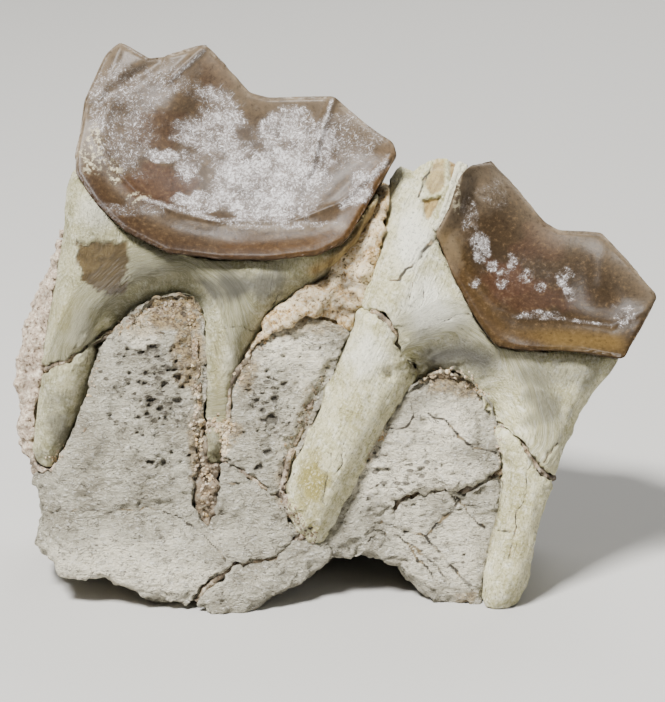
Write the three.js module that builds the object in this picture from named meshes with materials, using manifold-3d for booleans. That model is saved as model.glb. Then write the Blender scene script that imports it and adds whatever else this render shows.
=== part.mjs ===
// A fossil upper-jaw fragment of an early hornless rhinoceros, standing crowns up on its broken edge:
// two molars with brown enamel crowns and pale roots, held in cracked bone and silty matrix.
//
// The pieces are drawn on the plane of the cheek side, in millimetres: u runs to the rear molar,
// v runs up to the crowns, and w points out of the cheek, towards the viewer. At the end the whole
// drawing is leaned back and set on the floor, with +Z up.

import * as THREE from "three";
import { mergeVertices } from "three/addons/utils/BufferGeometryUtils.js";
import Module from "manifold-3d";

const wasm = await Module();
wasm.setup();

// Driving dimensions
const LEAN_DEG = 16; // how far the specimen leans back as it stands
const FLOOR_TRIM = 0.8; // worn off the lowest points, so that they stand on small flats
const STAND_ACROSS = 0.08; // with the next value, sets the origin under the middle of the box
const STAND_BACK = -20.9;
const GAP = 0.3; // parting between pieces that touch
const LABIAL_DEPTH = 13.7; // thickness of the cheek-side layer of bone and roots
const CROWN_DEPTH = 32; // a crown is drawn this deep, and its plan ends it
const PALATE_DEPTH = 28; // how far the palate side of the bone reaches
const FRONT_LINGUAL_REACH = 27; // how far the inner root of the front molar reaches
const REAR_LINGUAL_REACH = 26; // how far the inner root of the rear molar reaches
const CROWN_EDGE = 1.3; // rounding of the enamel edges
const ROOT_ROUND = 3.4; // rounding radius of a root in section
const PLATE_ROUND = 0.9; // rounding of a broken bone edge
const PALATE_ROUND = 6; // rounding of the palate's back edges
const LINGUAL_ROUND = 6.5; // rounding of the inner roots
const LOPH_SLOPE = 1.3; // fall of a loph's flanks, for each millimetre across
const LOPH_ROUND = 2; // rounding of a loph's worn top
const CUT_REACH = 60; // a cut runs through everything in this depth

// Spacing of the surface grids
const CROWN_CELL = 1.4;
const OCCLUSAL_CELL = 2.3;
const ROOT_CELL = 1.5;
const JAW_CELL = 2.1;
const PALATE_CELL = 3;

// Colours and finishes
const ENAMEL = { color: 0x6f5644, roughness: 0.3, metalness: 0 };
const DENTINE = { color: 0xd6d0b4, roughness: 0.6, metalness: 0 };
const BONE = { color: 0xc9c2b6, roughness: 0.85, metalness: 0 };
const MATRIX = { color: 0xd9c4ae, roughness: 0.95, metalness: 0 };

// Solids

// A closed geometry as a solid that can be joined and cut.
function solid(geometry) {
  geometry.deleteAttribute("normal");
  geometry.deleteAttribute("uv");
  const merged = mergeVertices(geometry, 1e-4);
  return new wasm.Manifold(
    new wasm.Mesh({
      numProp: 3,
      vertProperties: new Float32Array(merged.getAttribute("position").array),
      triVerts: new Uint32Array(merged.index.array),
    }),
  );
}

function geometryOf(body) {
  const mesh = body.getMesh();
  const geometry = new THREE.BufferGeometry();
  geometry.setAttribute("position", new THREE.BufferAttribute(new Float32Array(mesh.vertProperties), 3));
  geometry.setIndex(new THREE.BufferAttribute(new Uint32Array(mesh.triVerts), 1));
  geometry.computeVertexNormals();
  return geometry;
}

// Outlines

const corners = (points) => points.map(([u, v]) => new THREE.Vector2(u, v));

// A closed outline through a few points, with smooth stretches between them.
function rounded(points, steps = 2) {
  const knots = points.map(([u, v]) => new THREE.Vector3(u, v, 0));
  const curve = new THREE.CatmullRomCurve3(knots, true, "centripetal");
  const outline = curve.getPoints(points.length * steps).slice(0, -1);
  return outline.map((point) => new THREE.Vector2(point.x, point.y));
}

// A counter-clockwise outline moved out by a distance, corner by corner.
function widened(outline, distance) {
  const count = outline.length;
  return outline.map((corner, i) => {
    const along = outline[(i + 1) % count].clone().sub(outline[(i + count - 1) % count]).normalize();
    return new THREE.Vector2(corner.x + along.y * distance, corner.y - along.x * distance);
  });
}

function distanceToSegment(u, v, a, b) {
  const du = b.x - a.x;
  const dv = b.y - a.y;
  const share = ((u - a.x) * du + (v - a.y) * dv) / (du * du + dv * dv || 1);
  const t = THREE.MathUtils.clamp(share, 0, 1);
  return Math.hypot(u - a.x - t * du, v - a.y - t * dv);
}

// How far a point lies inside an outline, and 0 outside it.
function depthInside(u, v, outline) {
  let nearest = Infinity;
  let inside = false;
  outline.forEach((a, i) => {
    const b = outline[(i + 1) % outline.length];
    nearest = Math.min(nearest, distanceToSegment(u, v, a, b));
    const crosses = a.y > v !== b.y > v;
    if (crosses && u < ((b.x - a.x) * (v - a.y)) / (b.y - a.y) + a.x) inside = !inside;
  });
  return inside ? nearest : 0;
}

// How much a rounded edge of this radius falls away, at a distance inside its outline.
function edgeDrop(inside, radius) {
  const left = 1 - Math.min(inside / radius, 1);
  return radius * (1 - Math.sqrt(1 - left * left));
}

// A raised line along a path: full height on the path, fading over the width.
function ridge(u, v, { path, height, width }) {
  const points = corners(path);
  const spans = points.slice(1).map((point, i) => distanceToSegment(u, v, points[i], point));
  return height * Math.exp(-((Math.min(...spans) / width) ** 2));
}

function ridges(u, v, lines) {
  return lines.reduce((sum, line) => sum + ridge(u, v, line), 0);
}

// Height along a line of points that runs in u.
function heightAlong(points, u) {
  const after = points.findIndex((point) => point[0] >= u);
  if (after < 0) return points[points.length - 1][1];
  if (after === 0) return points[0][1];
  const [u0, v0] = points[after - 1];
  const [u1, v1] = points[after];
  return v0 + ((u - u0) / (u1 - u0)) * (v1 - v0);
}

// Building blocks

// An outline as a straight prism along w.
function prism(outline) {
  const geometry = new THREE.ExtrudeGeometry(new THREE.Shape(outline), {
    depth: 2 * CUT_REACH,
    bevelEnabled: false,
  });
  geometry.translate(0, 0, -CUT_REACH);
  return solid(geometry);
}

// A slab with this outline, between two surfaces that are given as functions of u and v.
function slab({ outline, front, back, cell }, grow = 0) {
  const box = new THREE.Box2().setFromPoints(outline).expandByScalar(1);
  const size = box.getSize(new THREE.Vector2());
  const middle = box.getCenter(new THREE.Vector2());
  const across = Math.ceil(size.x / cell);
  const up = Math.ceil(size.y / cell);
  const block = new THREE.BoxGeometry(size.x, size.y, 2, across, up, 1);
  const place = block.getAttribute("position");
  for (let i = 0; i < place.count; i++) {
    const u = place.getX(i) + middle.x;
    const v = place.getY(i) + middle.y;
    const w = place.getZ(i) > 0 ? front(u, v) + grow : back(u, v) - grow;
    place.setXYZ(i, u, v, w);
  }
  return solid(block).intersect(prism(widened(outline, grow)));
}

// A cut along a path, as wide as given, through from front to back.
function crack({ path, width }) {
  const points = corners(path);
  const side = (sign) =>
    points.map((point, i) => {
      const before = points[Math.max(i - 1, 0)];
      const after = points[Math.min(i + 1, points.length - 1)];
      const along = after.clone().sub(before).normalize();
      const shift = (sign * width) / 2;
      return new THREE.Vector2(point.x + along.y * shift, point.y - along.x * shift);
    });
  return prism([...side(1), ...side(-1).reverse()]);
}

// The closed bodies that are left of a solid when it is parted along its cracks.
function parted(body, cracks) {
  return cracks.reduce((left, line) => left.subtract(crack(line)), body).decompose();
}

// The largest closed body of a solid.
function largest(body) {
  return body.decompose().sort((a, b) => b.volume() - a.volume())[0];
}

// The piece that holds most of a small peg at a point.
function pieceAt(pieces, [u, v]) {
  const peg = new THREE.BoxGeometry(2, 2, CUT_REACH);
  peg.translate(u, v, 0);
  const probe = solid(peg);
  const share = (piece) => piece.intersect(probe).volume();
  return pieces.reduce((best, piece) => (share(piece) > share(best) ? piece : best));
}

// A wide block whose upper face passes through a point of the v-w plane and falls back by a slope.
function blockBelow([v, w], slopeDeg) {
  const side = 4 * CUT_REACH;
  const block = new THREE.BoxGeometry(side, side, side);
  block.translate(0, -side / 2, 0);
  block.rotateX(THREE.MathUtils.degToRad(slopeDeg));
  block.translate(0, v, w);
  return solid(block);
}

// Crowns
// Each has its crest and its lower edge in cheek view, drawn from the front round to the front again,
// raised lines and a hollow on its outer wall, its outline in plan, and a chewing surface where two
// lophs run back from the outer wall with a valley between them.

const FRONT_MOLAR = {
  crest: [
    [-31, 55], [-30, 61.5], [-27.5, 67.3], [-26, 68.6], [-22.5, 66.6], [-19.5, 67.2], [-15.8, 68.3],
    [-13.5, 66], [-10.5, 62.5], [-8, 61.9], [-0.3, 62], [2.7, 59.3], [6.7, 56.4], [7.1, 55],
  ],
  lowerEdge: [
    [4.1, 49.7], [1.2, 44.8], [-2, 43.2], [-8, 42.5], [-14, 42.6], [-20, 43.4], [-25, 46], [-28.5, 49.4],
    [-30.8, 52.8],
  ],
  plan: [[9, 9], [8, -4], [1, -26], [-5, -30], [-13, -29], [-22, -30], [-27.5, -25], [-32, -4], [-33, 9]],
  wall: { foot: 43, bulge: 3.3, lean: 0.2, crestLine: -3.2, innerSlope: 1.7 },
  raised: [
    {
      path: [
        [-28.6, 60.5], [-28.9, 57.5], [-27.3, 53.9], [-22.3, 49.1], [-11.5, 45.5], [-3.1, 46.7], [5.9, 54.5],
      ],
      height: 0.7,
      width: 1.1,
    },
    { path: [[-15.9, 68.2], [-18.1, 64.7], [-19.9, 60.5]], height: 1.1, width: 2.2 },
    { path: [[-26, 68.6], [-28.6, 60.5]], height: 1.2, width: 1.6 },
    { path: [[-0.1, 62], [-1.9, 55.7]], height: 0.9, width: 1.5 },
    { path: [[-15, 55], [-9, 55]], height: -1.5, width: 9.5 },
  ],
  lophs: [
    { from: [-17, -3], to: [-21, -26], high: 62.5, low: 57 },
    { from: [-2, -3], to: [-8, -26], high: 57, low: 53.5 },
  ],
  valley: 49.5,
};

const REAR_MOLAR = {
  crest: [
    [12, 45.6], [13.6, 48.6], [15.2, 53.5], [19, 54.5], [21.2, 52.1], [25.2, 46.9], [27, 45.9], [31.8, 45.6],
    [34.4, 42.7], [38.2, 38],
  ],
  lowerEdge: [[36.4, 34.6], [33.9, 30.8], [29, 31.7], [22, 31.8], [19.1, 32.3], [17, 35.2], [14, 40.8]],
  plan: [[41, 9], [39.5, -4], [33, -24], [29, -28], [23, -27], [17, -28], [13, -24], [10.5, -4], [9, 9]],
  wall: { foot: 33, bulge: 3, lean: 0.2, crestLine: -2.4, innerSlope: 1.7 },
  raised: [
    { path: [[13.5, 45.5], [15.5, 41.3], [21.2, 35.5], [32.9, 34.3], [36.5, 36.2]], height: 0.6, width: 1 },
    { path: [[19, 54.5], [18.3, 50.9], [16.1, 45.5]], height: 0.8, width: 2 },
    { path: [[32, 45.5], [31.5, 38.9]], height: 0.8, width: 1.6 },
    { path: [[22, 43], [28, 39]], height: -1.2, width: 5.5 },
  ],
  lophs: [
    { from: [18.5, -3], to: [17, -24], high: 48.5, low: 44 },
    { from: [31, -3], to: [26.5, -24], high: 41.5, low: 38.5 },
  ],
  valley: 36.5,
};

const crownOutline = ({ crest, lowerEdge }) => corners([...crest, ...lowerEdge]).reverse();

// The chewing surface at a point of the plan: the highest of the outer wall, the lophs and the valley.
// The wall stands clear above its crest, because the crown's outline already ends it there.
function chewingHeight({ crest, wall, lophs, valley }, u, w) {
  const behind = wall.crestLine - w;
  const outer = heightAlong(crest, u) - wall.innerSlope * behind;
  const inner = lophs.map(({ from, to, high, low }) => {
    const [a, b] = corners([from, to]);
    const share = THREE.MathUtils.clamp((w - a.y) / (b.y - a.y), 0, 1);
    const across = Math.hypot(distanceToSegment(u, w, a, b), LOPH_ROUND) - LOPH_ROUND;
    return high + (low - high) * share - LOPH_SLOPE * across;
  });
  return Math.max(outer, valley, ...inner);
}

// An outline in plan as a straight prism along v.
function uprightPrism(plan) {
  const mirrored = plan.map((point) => new THREE.Vector2(point.x, -point.y));
  const geometry = new THREE.ExtrudeGeometry(new THREE.Shape(mirrored), {
    depth: 2 * CUT_REACH,
    bevelEnabled: false,
  });
  geometry.rotateX(-Math.PI / 2);
  return solid(geometry);
}

// A block under the chewing surface, inside the crown's outline in plan.
function chewingBlock(molar) {
  const plan = rounded(molar.plan);
  const box = new THREE.Box2().setFromPoints(plan).expandByScalar(1);
  const size = box.getSize(new THREE.Vector2());
  const middle = box.getCenter(new THREE.Vector2());
  const across = Math.ceil(size.x / OCCLUSAL_CELL);
  const deep = Math.ceil(size.y / OCCLUSAL_CELL);
  const block = new THREE.BoxGeometry(size.x, 2, size.y, across, 1, deep);
  const place = block.getAttribute("position");
  for (let i = 0; i < place.count; i++) {
    const u = place.getX(i) + middle.x;
    const w = place.getZ(i) + middle.y;
    place.setXYZ(i, u, place.getY(i) > 0 ? chewingHeight(molar, u, w) : 0, w);
  }
  return solid(block).intersect(uprightPrism(plan));
}

function crown(molar) {
  const outline = crownOutline(molar);
  const { foot, bulge, lean } = molar.wall;
  const front = (u, v) => {
    const wall = bulge - lean * (v - foot) + ridges(u, v, molar.raised);
    return wall - edgeDrop(depthInside(u, v, outline), CROWN_EDGE);
  };
  const whole = slab({ outline, front, back: () => -CROWN_DEPTH, cell: CROWN_CELL });
  return largest(whole.intersect(chewingBlock(molar)));
}

// Roots
// The cheek-side roots of a molar are one outline, with the neck that carries the crown. Behind them
// each molar has one broad root on the tongue side.

const FRONT_ROOTS = rounded([
  [-31, 53.9], [-32.4, 48], [-33.4, 40], [-34.9, 31.5], [-36.3, 21.5], [-36, 18.4], [-34.4, 17.7],
  [-32.4, 20.9], [-29.8, 27.2], [-28.1, 32.2], [-24.7, 36.4], [-20.5, 38.4], [-17.2, 38.4], [-15.6, 35],
  [-15.4, 27], [-15.4, 18.4], [-13.8, 18.2], [-12.6, 24.6], [-10.5, 32], [-6.5, 37], [-1.2, 40.7],
  [2.6, 45], [5.1, 50.3], [0, 51], [-10, 48], [-20, 48.5], [-28, 54],
]);
const FRONT_ROOT_CRACKS = [
  {
    path: [[-38, 27.2], [-34.5, 29.5], [-31.9, 30.4], [-30.1, 32], [-27.7, 33.4], [-25, 34.6]],
    width: 0.5,
  },
  { path: [[-17, 23.2], [-14.6, 22.7], [-11, 22.6]], width: 0.5 },
];
const FRONT_LINGUAL = rounded([
  [-27, 50], [-26, 44], [-22, 37], [-19.5, 30], [-18, 20], [-14, 13.5], [-10, 14], [-7, 20], [-5.5, 30],
  [-3, 37], [1, 42.5], [2, 48], [-12, 46],
]);

const REAR_ROOTS = rounded([
  [6.9, 52.8], [6.3, 48], [4.6, 40.5], [1, 31.5], [-2.5, 22.8], [-5.4, 15.5], [-5.3, 11.2], [-2, 8.6],
  [-0.2, 11.5], [3.2, 18.3], [7, 24.6], [11, 29], [15, 29.1], [18.1, 26], [20, 19.5], [19.8, 12.5],
  [18, 4.5], [17.9, 0.6], [20.2, 0.2], [22.8, 3.6], [24, 9.5], [26.2, 16.3], [28.2, 22.3], [31, 27.4],
  [34, 31], [34, 33], [28, 36], [20, 38], [16, 46], [16.5, 51], [14.5, 54.6], [12.7, 55], [11, 54.2],
  [9.2, 52.5], [8, 53.8],
]);
const REAR_ROOT_CRACKS = [
  { path: [[14, 48.5], [11.8, 45.1], [8.9, 41.5], [6.5, 38.6], [4.4, 36.4]], width: 0.35 },
  { path: [[1, 38.2], [5.9, 35.3], [7.4, 33.4], [7.7, 31.4], [9.2, 29.9], [10.9, 26]], width: 0.55 },
  {
    path: [[16.8, 24.5], [20.7, 22.1], [22.4, 20.3], [23.6, 18.2], [25.1, 16.7], [28.2, 15.6]],
    width: 0.6,
  },
];
const REAR_LINGUAL = rounded([
  [13.5, 46], [14, 40], [15.5, 33], [16.5, 25], [17.5, 16], [20, 11], [23, 12], [25, 18], [26.5, 25],
  [30, 30], [32.5, 33], [24, 36],
]);

// How far the necks stand out of the cheek plane, and how the roots depart from that lower down: the
// front molar's sink into the bone, while the rear molar's first root swells along its axis.
const FRONT_NECK = 2.7;
const FRONT_SINKING = { depth: 2, top: 38, bottom: 20 };
const REAR_NECK = 2.5;
const REAR_SWELLING = { path: [[7, 40], [3.5, 27], [-2, 15]], height: 1, width: 5 };

// The broken dentine beside the rear crown: its face slopes back above a height, and its top is a slant.
const DENTINE_FACE = { foot: 38, slope: 0.16 };
const DENTINE_TOP = { edge: [55.5, 0], slopeDeg: -28 };

// The front molar's roots lie deeper in the bone towards their tips.
function frontRoots() {
  const { depth, top, bottom } = FRONT_SINKING;
  const front = (u, v) => {
    const sunk = depth * THREE.MathUtils.smoothstep(top - v, 0, top - bottom);
    return FRONT_NECK - sunk - edgeDrop(depthInside(u, v, FRONT_ROOTS), ROOT_ROUND);
  };
  return slab({ outline: FRONT_ROOTS, front, back: () => -LABIAL_DEPTH, cell: ROOT_CELL });
}

// The rear molar's first root stands proud of the bone, and its broken dentine slopes back at the top.
function rearRoots() {
  const front = (u, v) => {
    const receding = DENTINE_FACE.slope * Math.max(0, v - DENTINE_FACE.foot);
    const proud = REAR_NECK + ridge(u, v, REAR_SWELLING);
    return proud - receding - edgeDrop(depthInside(u, v, REAR_ROOTS), ROOT_ROUND);
  };
  const whole = slab({ outline: REAR_ROOTS, front, back: () => -LABIAL_DEPTH, cell: ROOT_CELL });
  return whole.intersect(blockBelow(DENTINE_TOP.edge, DENTINE_TOP.slopeDeg));
}

function lingualRoot(outline, reach, grow = 0) {
  const back = (u, v) => -reach + edgeDrop(depthInside(u, v, outline), LINGUAL_ROUND);
  return slab({ outline, front: () => -LABIAL_DEPTH - GAP, back, cell: PALATE_CELL }, grow);
}

// Bone and matrix
// The cheek-side layer is drawn whole, cleared of the teeth, and parted along its cracks. Behind it is
// the palate side of the bone, open below in an arch.

const JAW = rounded([
  [-31.3, 51.5], [-33.4, 43.7], [-36, 38.5], [-37.9, 33], [-38.2, 23.5], [-36.4, 16.8], [-35.3, 11.5],
  [-36, 8.6], [-32.6, 5.2], [-27, 3.5], [-22.5, 2.1], [-17.5, 1.5], [-12.4, 0], [-9, 1.3], [-4.9, 4.3],
  [1.1, 7.3], [7.5, 6], [11, 2.9], [17.9, 0.2], [20.5, 4], [21.5, 12], [23, 21], [19, 28], [14, 32],
  [12, 38], [8.5, 48], [7, 51.2], [5.7, 51.2], [2, 46], [-6, 43.5], [-16, 43.2], [-26, 47],
]);
const JAW_CRACKS = [
  {
    path: [[-17.8, -0.5], [-15.7, 3.1], [-11.7, 6.2], [-7.3, 6.5], [-5.1, 8.8], [-2.4, 10.2]],
    width: 0.9,
  },
  { path: [[-1.4, 9.8], [-0.7, 8], [-0.2, 5]], width: 0.4 },
  { path: [[-14.4, 19], [-10.9, 16.9], [-7.6, 14.6], [-4.5, 13.6]], width: 0.5 },
  {
    path: [[-0.2, 5.8], [3.5, 9.2], [5.9, 10.3], [8, 13.7], [12.8, 15], [15.5, 14.6], [21.4, 18]],
    width: 0.45,
  },
  { path: [[-13, 27.3], [-9.3, 32], [-6.7, 34.3], [-3.7, 35.8], [-0.7, 35], [4, 32.8]], width: 0.35 },
  { path: [[-40, 18], [-36.5, 16.6], [-33.7, 16.9], [-32.8, 20]], width: 0.4 },
];

// The filled end of the front molar's narrow root socket.
const SOCKET = rounded([
  [-16.1, 22.6], [-16.5, 17.3], [-17, 13.1], [-15.5, 10.4], [-14.1, 13.7], [-14, 17.3], [-13.4, 22.8],
]);
const SOCKET_SUNK = 1;

const PALATE = rounded([
  [-36, 37], [-37.3, 24], [-35, 13], [-34.3, 9], [-31, 6.6], [-26, 6], [-20, 7.4], [-13, 6], [-8, 7.2],
  [-4, 10.5], [2, 12], [8, 10.5], [12, 7.2], [16, 6], [20.5, 7], [23, 10.5], [25, 15], [27, 23], [22, 28],
  [14, 33], [9, 41], [4, 45], [-4, 42], [-14, 40], [-24, 42], [-30, 44.5],
]);
const PALATE_CRACK = { path: [[1.5, 5], [2, 12], [0.5, 20], [2.5, 28], [5, 36], [6, 48]], width: 0.5 };

// Where the cheek side of the bone leaves its plane: each place rises to its height over a stretch of u,
// of v or of both, given as where the rise starts and where it is whole.
const JAW_RISES = [
  { height: 2.2, v: [12, 2], u: [2, -8] }, // flared out at the lower front corner
  { height: -2.6, u: [-32.5, -36] }, // turned inwards at the front edge
  { height: -0.7, v: [14, 11], u: [2, 6] }, // the lower rear plate, set back
  { height: -0.6, v: [36, 44] }, // the silt between the teeth
];
const JAW_SWELLINGS = [
  { path: [[-22, 34], [-24, 22]], height: 0.8, width: 6 },
  { path: [[-7, 30], [-8, 20]], height: 0.5, width: 5 },
  { path: [[10, 22], [14, 19]], height: 0.7, width: 5 },
];
const PALATE_SWELLINGS = [
  { path: [[-30, 16], [-12, 10]], height: 1.6, width: 5 },
  { path: [[-28, 34], [2, 33]], height: -1.5, width: 4 },
  { path: [[12, 26], [22, 10]], height: 1.2, width: 4 },
];

// The share of a rise at a place: 0 where it starts, 1 where it is whole, and 1 with no stretch given.
function risen(place, stretch) {
  if (!stretch) return 1;
  const [start, whole] = stretch;
  return THREE.MathUtils.smoothstep((place - start) / (whole - start), 0, 1);
}

function jawFront(u, v) {
  const rises = JAW_RISES.map((rise) => rise.height * risen(u, rise.u) * risen(v, rise.v));
  const plane = rises.reduce((sum, rise) => sum + rise, 0);
  return plane + ridges(u, v, JAW_SWELLINGS) - edgeDrop(depthInside(u, v, JAW), PLATE_ROUND);
}

function jawLayer() {
  return slab({ outline: JAW, front: jawFront, back: () => -LABIAL_DEPTH, cell: JAW_CELL });
}

function socketFill() {
  const front = (u, v) => -SOCKET_SUNK - edgeDrop(depthInside(u, v, SOCKET), PLATE_ROUND);
  return slab({ outline: SOCKET, front, back: () => -LABIAL_DEPTH, cell: JAW_CELL });
}

function palate() {
  const back = (u, v) => {
    const deep = PALATE_DEPTH + ridges(u, v, PALATE_SWELLINGS);
    return edgeDrop(depthInside(u, v, PALATE), PALATE_ROUND) - deep;
  };
  return slab({ outline: PALATE, front: () => -LABIAL_DEPTH - GAP, back, cell: PALATE_CELL });
}

// Putting the specimen together

// The room that a piece takes from its neighbours: its outline with the parting round it, right through.
const room = (outline) => prism(widened(outline, GAP));

const floor = blockBelow([FLOOR_TRIM / Math.cos(THREE.MathUtils.degToRad(LEAN_DEG)), 0], LEAN_DEG);
const crownRoom = room(crownOutline(FRONT_MOLAR)).add(room(crownOutline(REAR_MOLAR)));
const rootRoom = room(FRONT_ROOTS).add(room(REAR_ROOTS));
const lingualRoom = lingualRoot(FRONT_LINGUAL, FRONT_LINGUAL_REACH, GAP).add(
  lingualRoot(REAR_LINGUAL, REAR_LINGUAL_REACH, GAP),
);
const cheekRoom = crownRoom.add(rootRoom).add(room(SOCKET)).add(floor);
const palateRoom = crownRoom.add(lingualRoom).add(floor);

const frontRootPieces = parted(frontRoots().subtract(crownRoom), FRONT_ROOT_CRACKS);
const rearRootPieces = parted(rearRoots().subtract(crownRoom).subtract(floor), REAR_ROOT_CRACKS);
const jawPieces = parted(jawLayer().subtract(cheekRoom), JAW_CRACKS);
const palatePieces = parted(palate().subtract(palateRoom), [PALATE_CRACK]);
const frontLingual = lingualRoot(FRONT_LINGUAL, FRONT_LINGUAL_REACH).subtract(crownRoom);
const rearLingual = lingualRoot(REAR_LINGUAL, REAR_LINGUAL_REACH).subtract(crownRoom);

const NODES = [
  ["front_molar_crown", crown(FRONT_MOLAR), ENAMEL],
  ["front_molar_neck", pieceAt(frontRootPieces, [-22, 41]), DENTINE],
  ["front_molar_mesial_root", pieceAt(frontRootPieces, [-33, 25]), DENTINE],
  ["front_molar_distal_root", pieceAt(frontRootPieces, [-14.5, 20]), DENTINE],
  ["front_molar_lingual_root", largest(frontLingual), DENTINE],
  ["rear_molar_crown", crown(REAR_MOLAR), ENAMEL],
  ["rear_molar_neck", pieceAt(rearRootPieces, [15, 32]), DENTINE],
  ["rear_molar_mesial_dentine", pieceAt(rearRootPieces, [8.5, 46]), DENTINE],
  ["rear_molar_mesial_root", pieceAt(rearRootPieces, [0, 22]), DENTINE],
  ["rear_molar_distal_root", pieceAt(rearRootPieces, [22, 10]), DENTINE],
  ["rear_molar_lingual_root", largest(rearLingual), DENTINE],
  ["bone_front_plate", pieceAt(jawPieces, [-24, 20]), BONE],
  ["bone_lower_fragment", pieceAt(jawPieces, [-9, 4]), BONE],
  ["bone_middle_plate", pieceAt(jawPieces, [-8, 24]), BONE],
  ["bone_rear_plate_upper", pieceAt(jawPieces, [11, 21]), BONE],
  ["bone_rear_plate_lower", pieceAt(jawPieces, [14, 9]), BONE],
  ["bone_palate_front", pieceAt(palatePieces, [-28, 20]), BONE],
  ["bone_palate_rear", pieceAt(palatePieces, [12, 20]), BONE],
  ["matrix_mesial", pieceAt(jawPieces, [-37, 26]), MATRIX],
  ["matrix_between_molars", pieceAt(jawPieces, [1, 40]), MATRIX],
  ["matrix_root_socket", largest(socketFill().subtract(rootRoom)), MATRIX],
];

const drawing = new THREE.Group();
for (const [name, body, finish] of NODES) {
  const mesh = new THREE.Mesh(geometryOf(body), new THREE.MeshStandardMaterial(finish));
  mesh.name = name;
  drawing.add(mesh);
}
drawing.rotation.x = THREE.MathUtils.degToRad(90 - LEAN_DEG);
drawing.position.set(STAND_ACROSS, STAND_BACK, -FLOOR_TRIM);

const jaw = new THREE.Group();
jaw.add(drawing);

export default jaw;
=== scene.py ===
# %% [markdown]
# # A fossil rhinoceros jaw, dressed for the camera
#
# The specimen is a piece of upper jaw with two molars, standing crowns up. Its solids come from a packed
# frame, with every piece at its real size. This lesson gives each piece its fine surface: enamel with a
# chalky bloom, pale root cement with lengthwise streaks, pitted bone, hairline cracks and crumbly silt.
#
# The frame is loaded first, and its parts are kept, hidden where a dressed piece stands for them.

# %% Load the frame
import math
from itertools import product

import bmesh
import bpy
import numpy as np
from mathutils import Matrix, Vector


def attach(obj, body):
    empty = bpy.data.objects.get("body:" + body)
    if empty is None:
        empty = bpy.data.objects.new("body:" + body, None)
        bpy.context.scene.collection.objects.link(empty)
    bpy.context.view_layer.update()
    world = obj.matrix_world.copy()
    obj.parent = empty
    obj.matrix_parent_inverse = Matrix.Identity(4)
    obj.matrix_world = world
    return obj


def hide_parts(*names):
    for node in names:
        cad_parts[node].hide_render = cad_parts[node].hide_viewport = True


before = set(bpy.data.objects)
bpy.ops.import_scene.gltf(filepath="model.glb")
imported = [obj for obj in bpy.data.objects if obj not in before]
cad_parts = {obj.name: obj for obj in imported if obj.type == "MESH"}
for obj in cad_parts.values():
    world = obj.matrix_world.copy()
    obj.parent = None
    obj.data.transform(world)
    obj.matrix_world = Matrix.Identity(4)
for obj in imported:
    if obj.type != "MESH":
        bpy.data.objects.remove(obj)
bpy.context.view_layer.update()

# %% [markdown]
# ## The drawing's own axes
#
# The specimen leans back as it stands, which makes its features awkward to place in world axes. So every
# piece is worked on in the axes of the cheek side, in millimetres: u runs along the tooth row, v runs up
# to the crowns, and w points out towards the viewer. One matrix leads there and its inverse leads back.

# %% Cheek-side axes
LEAN = math.radians(16)
STAND_MM = Vector((0.08, -20.9, -0.8))
UPRIGHT = Matrix.Rotation(math.pi / 2 - LEAN, 4, "X")
TO_FRAME = Matrix.Scale(0.001, 4) @ Matrix.Translation(STAND_MM) @ UPRIGHT
TO_CHEEK = TO_FRAME.inverted()


def in_frame(u, v, w):
    """A point of the cheek-side axes, in metres in the frame."""
    return TO_FRAME @ Vector((u, v, w))


print("crest of the front molar at", tuple(round(x, 4) for x in in_frame(-26, 68.6, 0)))

# %% [markdown]
# ## The camera
#
# The photograph looks straight at the cheek side, so the camera stands on the w axis. The picture is 702
# pixels high, and a pixel is 0.12 mm on the specimen. That height, the camera's distance and the sensor
# give the focal length.

# %% Camera
PIXEL_MM = 0.12
PICTURE_HEIGHT_PX = 702
CAMERA_DISTANCE_MM = 330
SENSOR_MM = 36
NEAREST_M = 0.01
AIM = (-0.36, 31.56, 0)


def in_scene(name, data):
    """A new object, linked to the scene."""
    thing = bpy.data.objects.new(name, data)
    bpy.context.scene.collection.objects.link(thing)
    return thing


def add_camera():
    data = bpy.data.cameras.new("camera")
    data.sensor_fit = "VERTICAL"
    data.sensor_height = SENSOR_MM
    data.lens = SENSOR_MM * CAMERA_DISTANCE_MM / (PICTURE_HEIGHT_PX * PIXEL_MM)
    data.clip_start = NEAREST_M
    camera = in_scene("camera", data)
    aim, eye = in_frame(*AIM), in_frame(AIM[0], AIM[1], CAMERA_DISTANCE_MM)
    camera.location = eye
    camera.rotation_euler = (aim - eye).to_track_quat("-Z", "Y").to_euler()
    bpy.context.scene.camera = camera
    print("camera at", tuple(round(x, 3) for x in eye), "lens", round(data.lens, 1))


add_camera()

# %% [markdown]
# ## Measures for carving
#
# Three small measures do most of the carving. Lumps are smooth noise with a size in millimetres, and the
# lines between them are furrows. The distance from a path, seen from the cheek side, makes ridges and
# cracks. A patch is a soft oval with a ragged edge, for stains and bloom.

# %% Measures for carving
AXIS_PRIMES = (73856093, 19349663, 83492791)
SEED_PRIME = 2654435761
MIXING_PRIME = 1274126177
SEED_SHIFT = 31.7
FURROW_SHARE = 0.3
FACING = (0.1, 0.5)
CHEEK_LAYER_MM = (-8, -5)


def steps(low, high, values):
    """Goes smoothly from 0 at low to 1 at high."""
    t = np.clip((values - low) / (high - low), 0, 1)
    return t * t * (3 - 2 * t)


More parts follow.
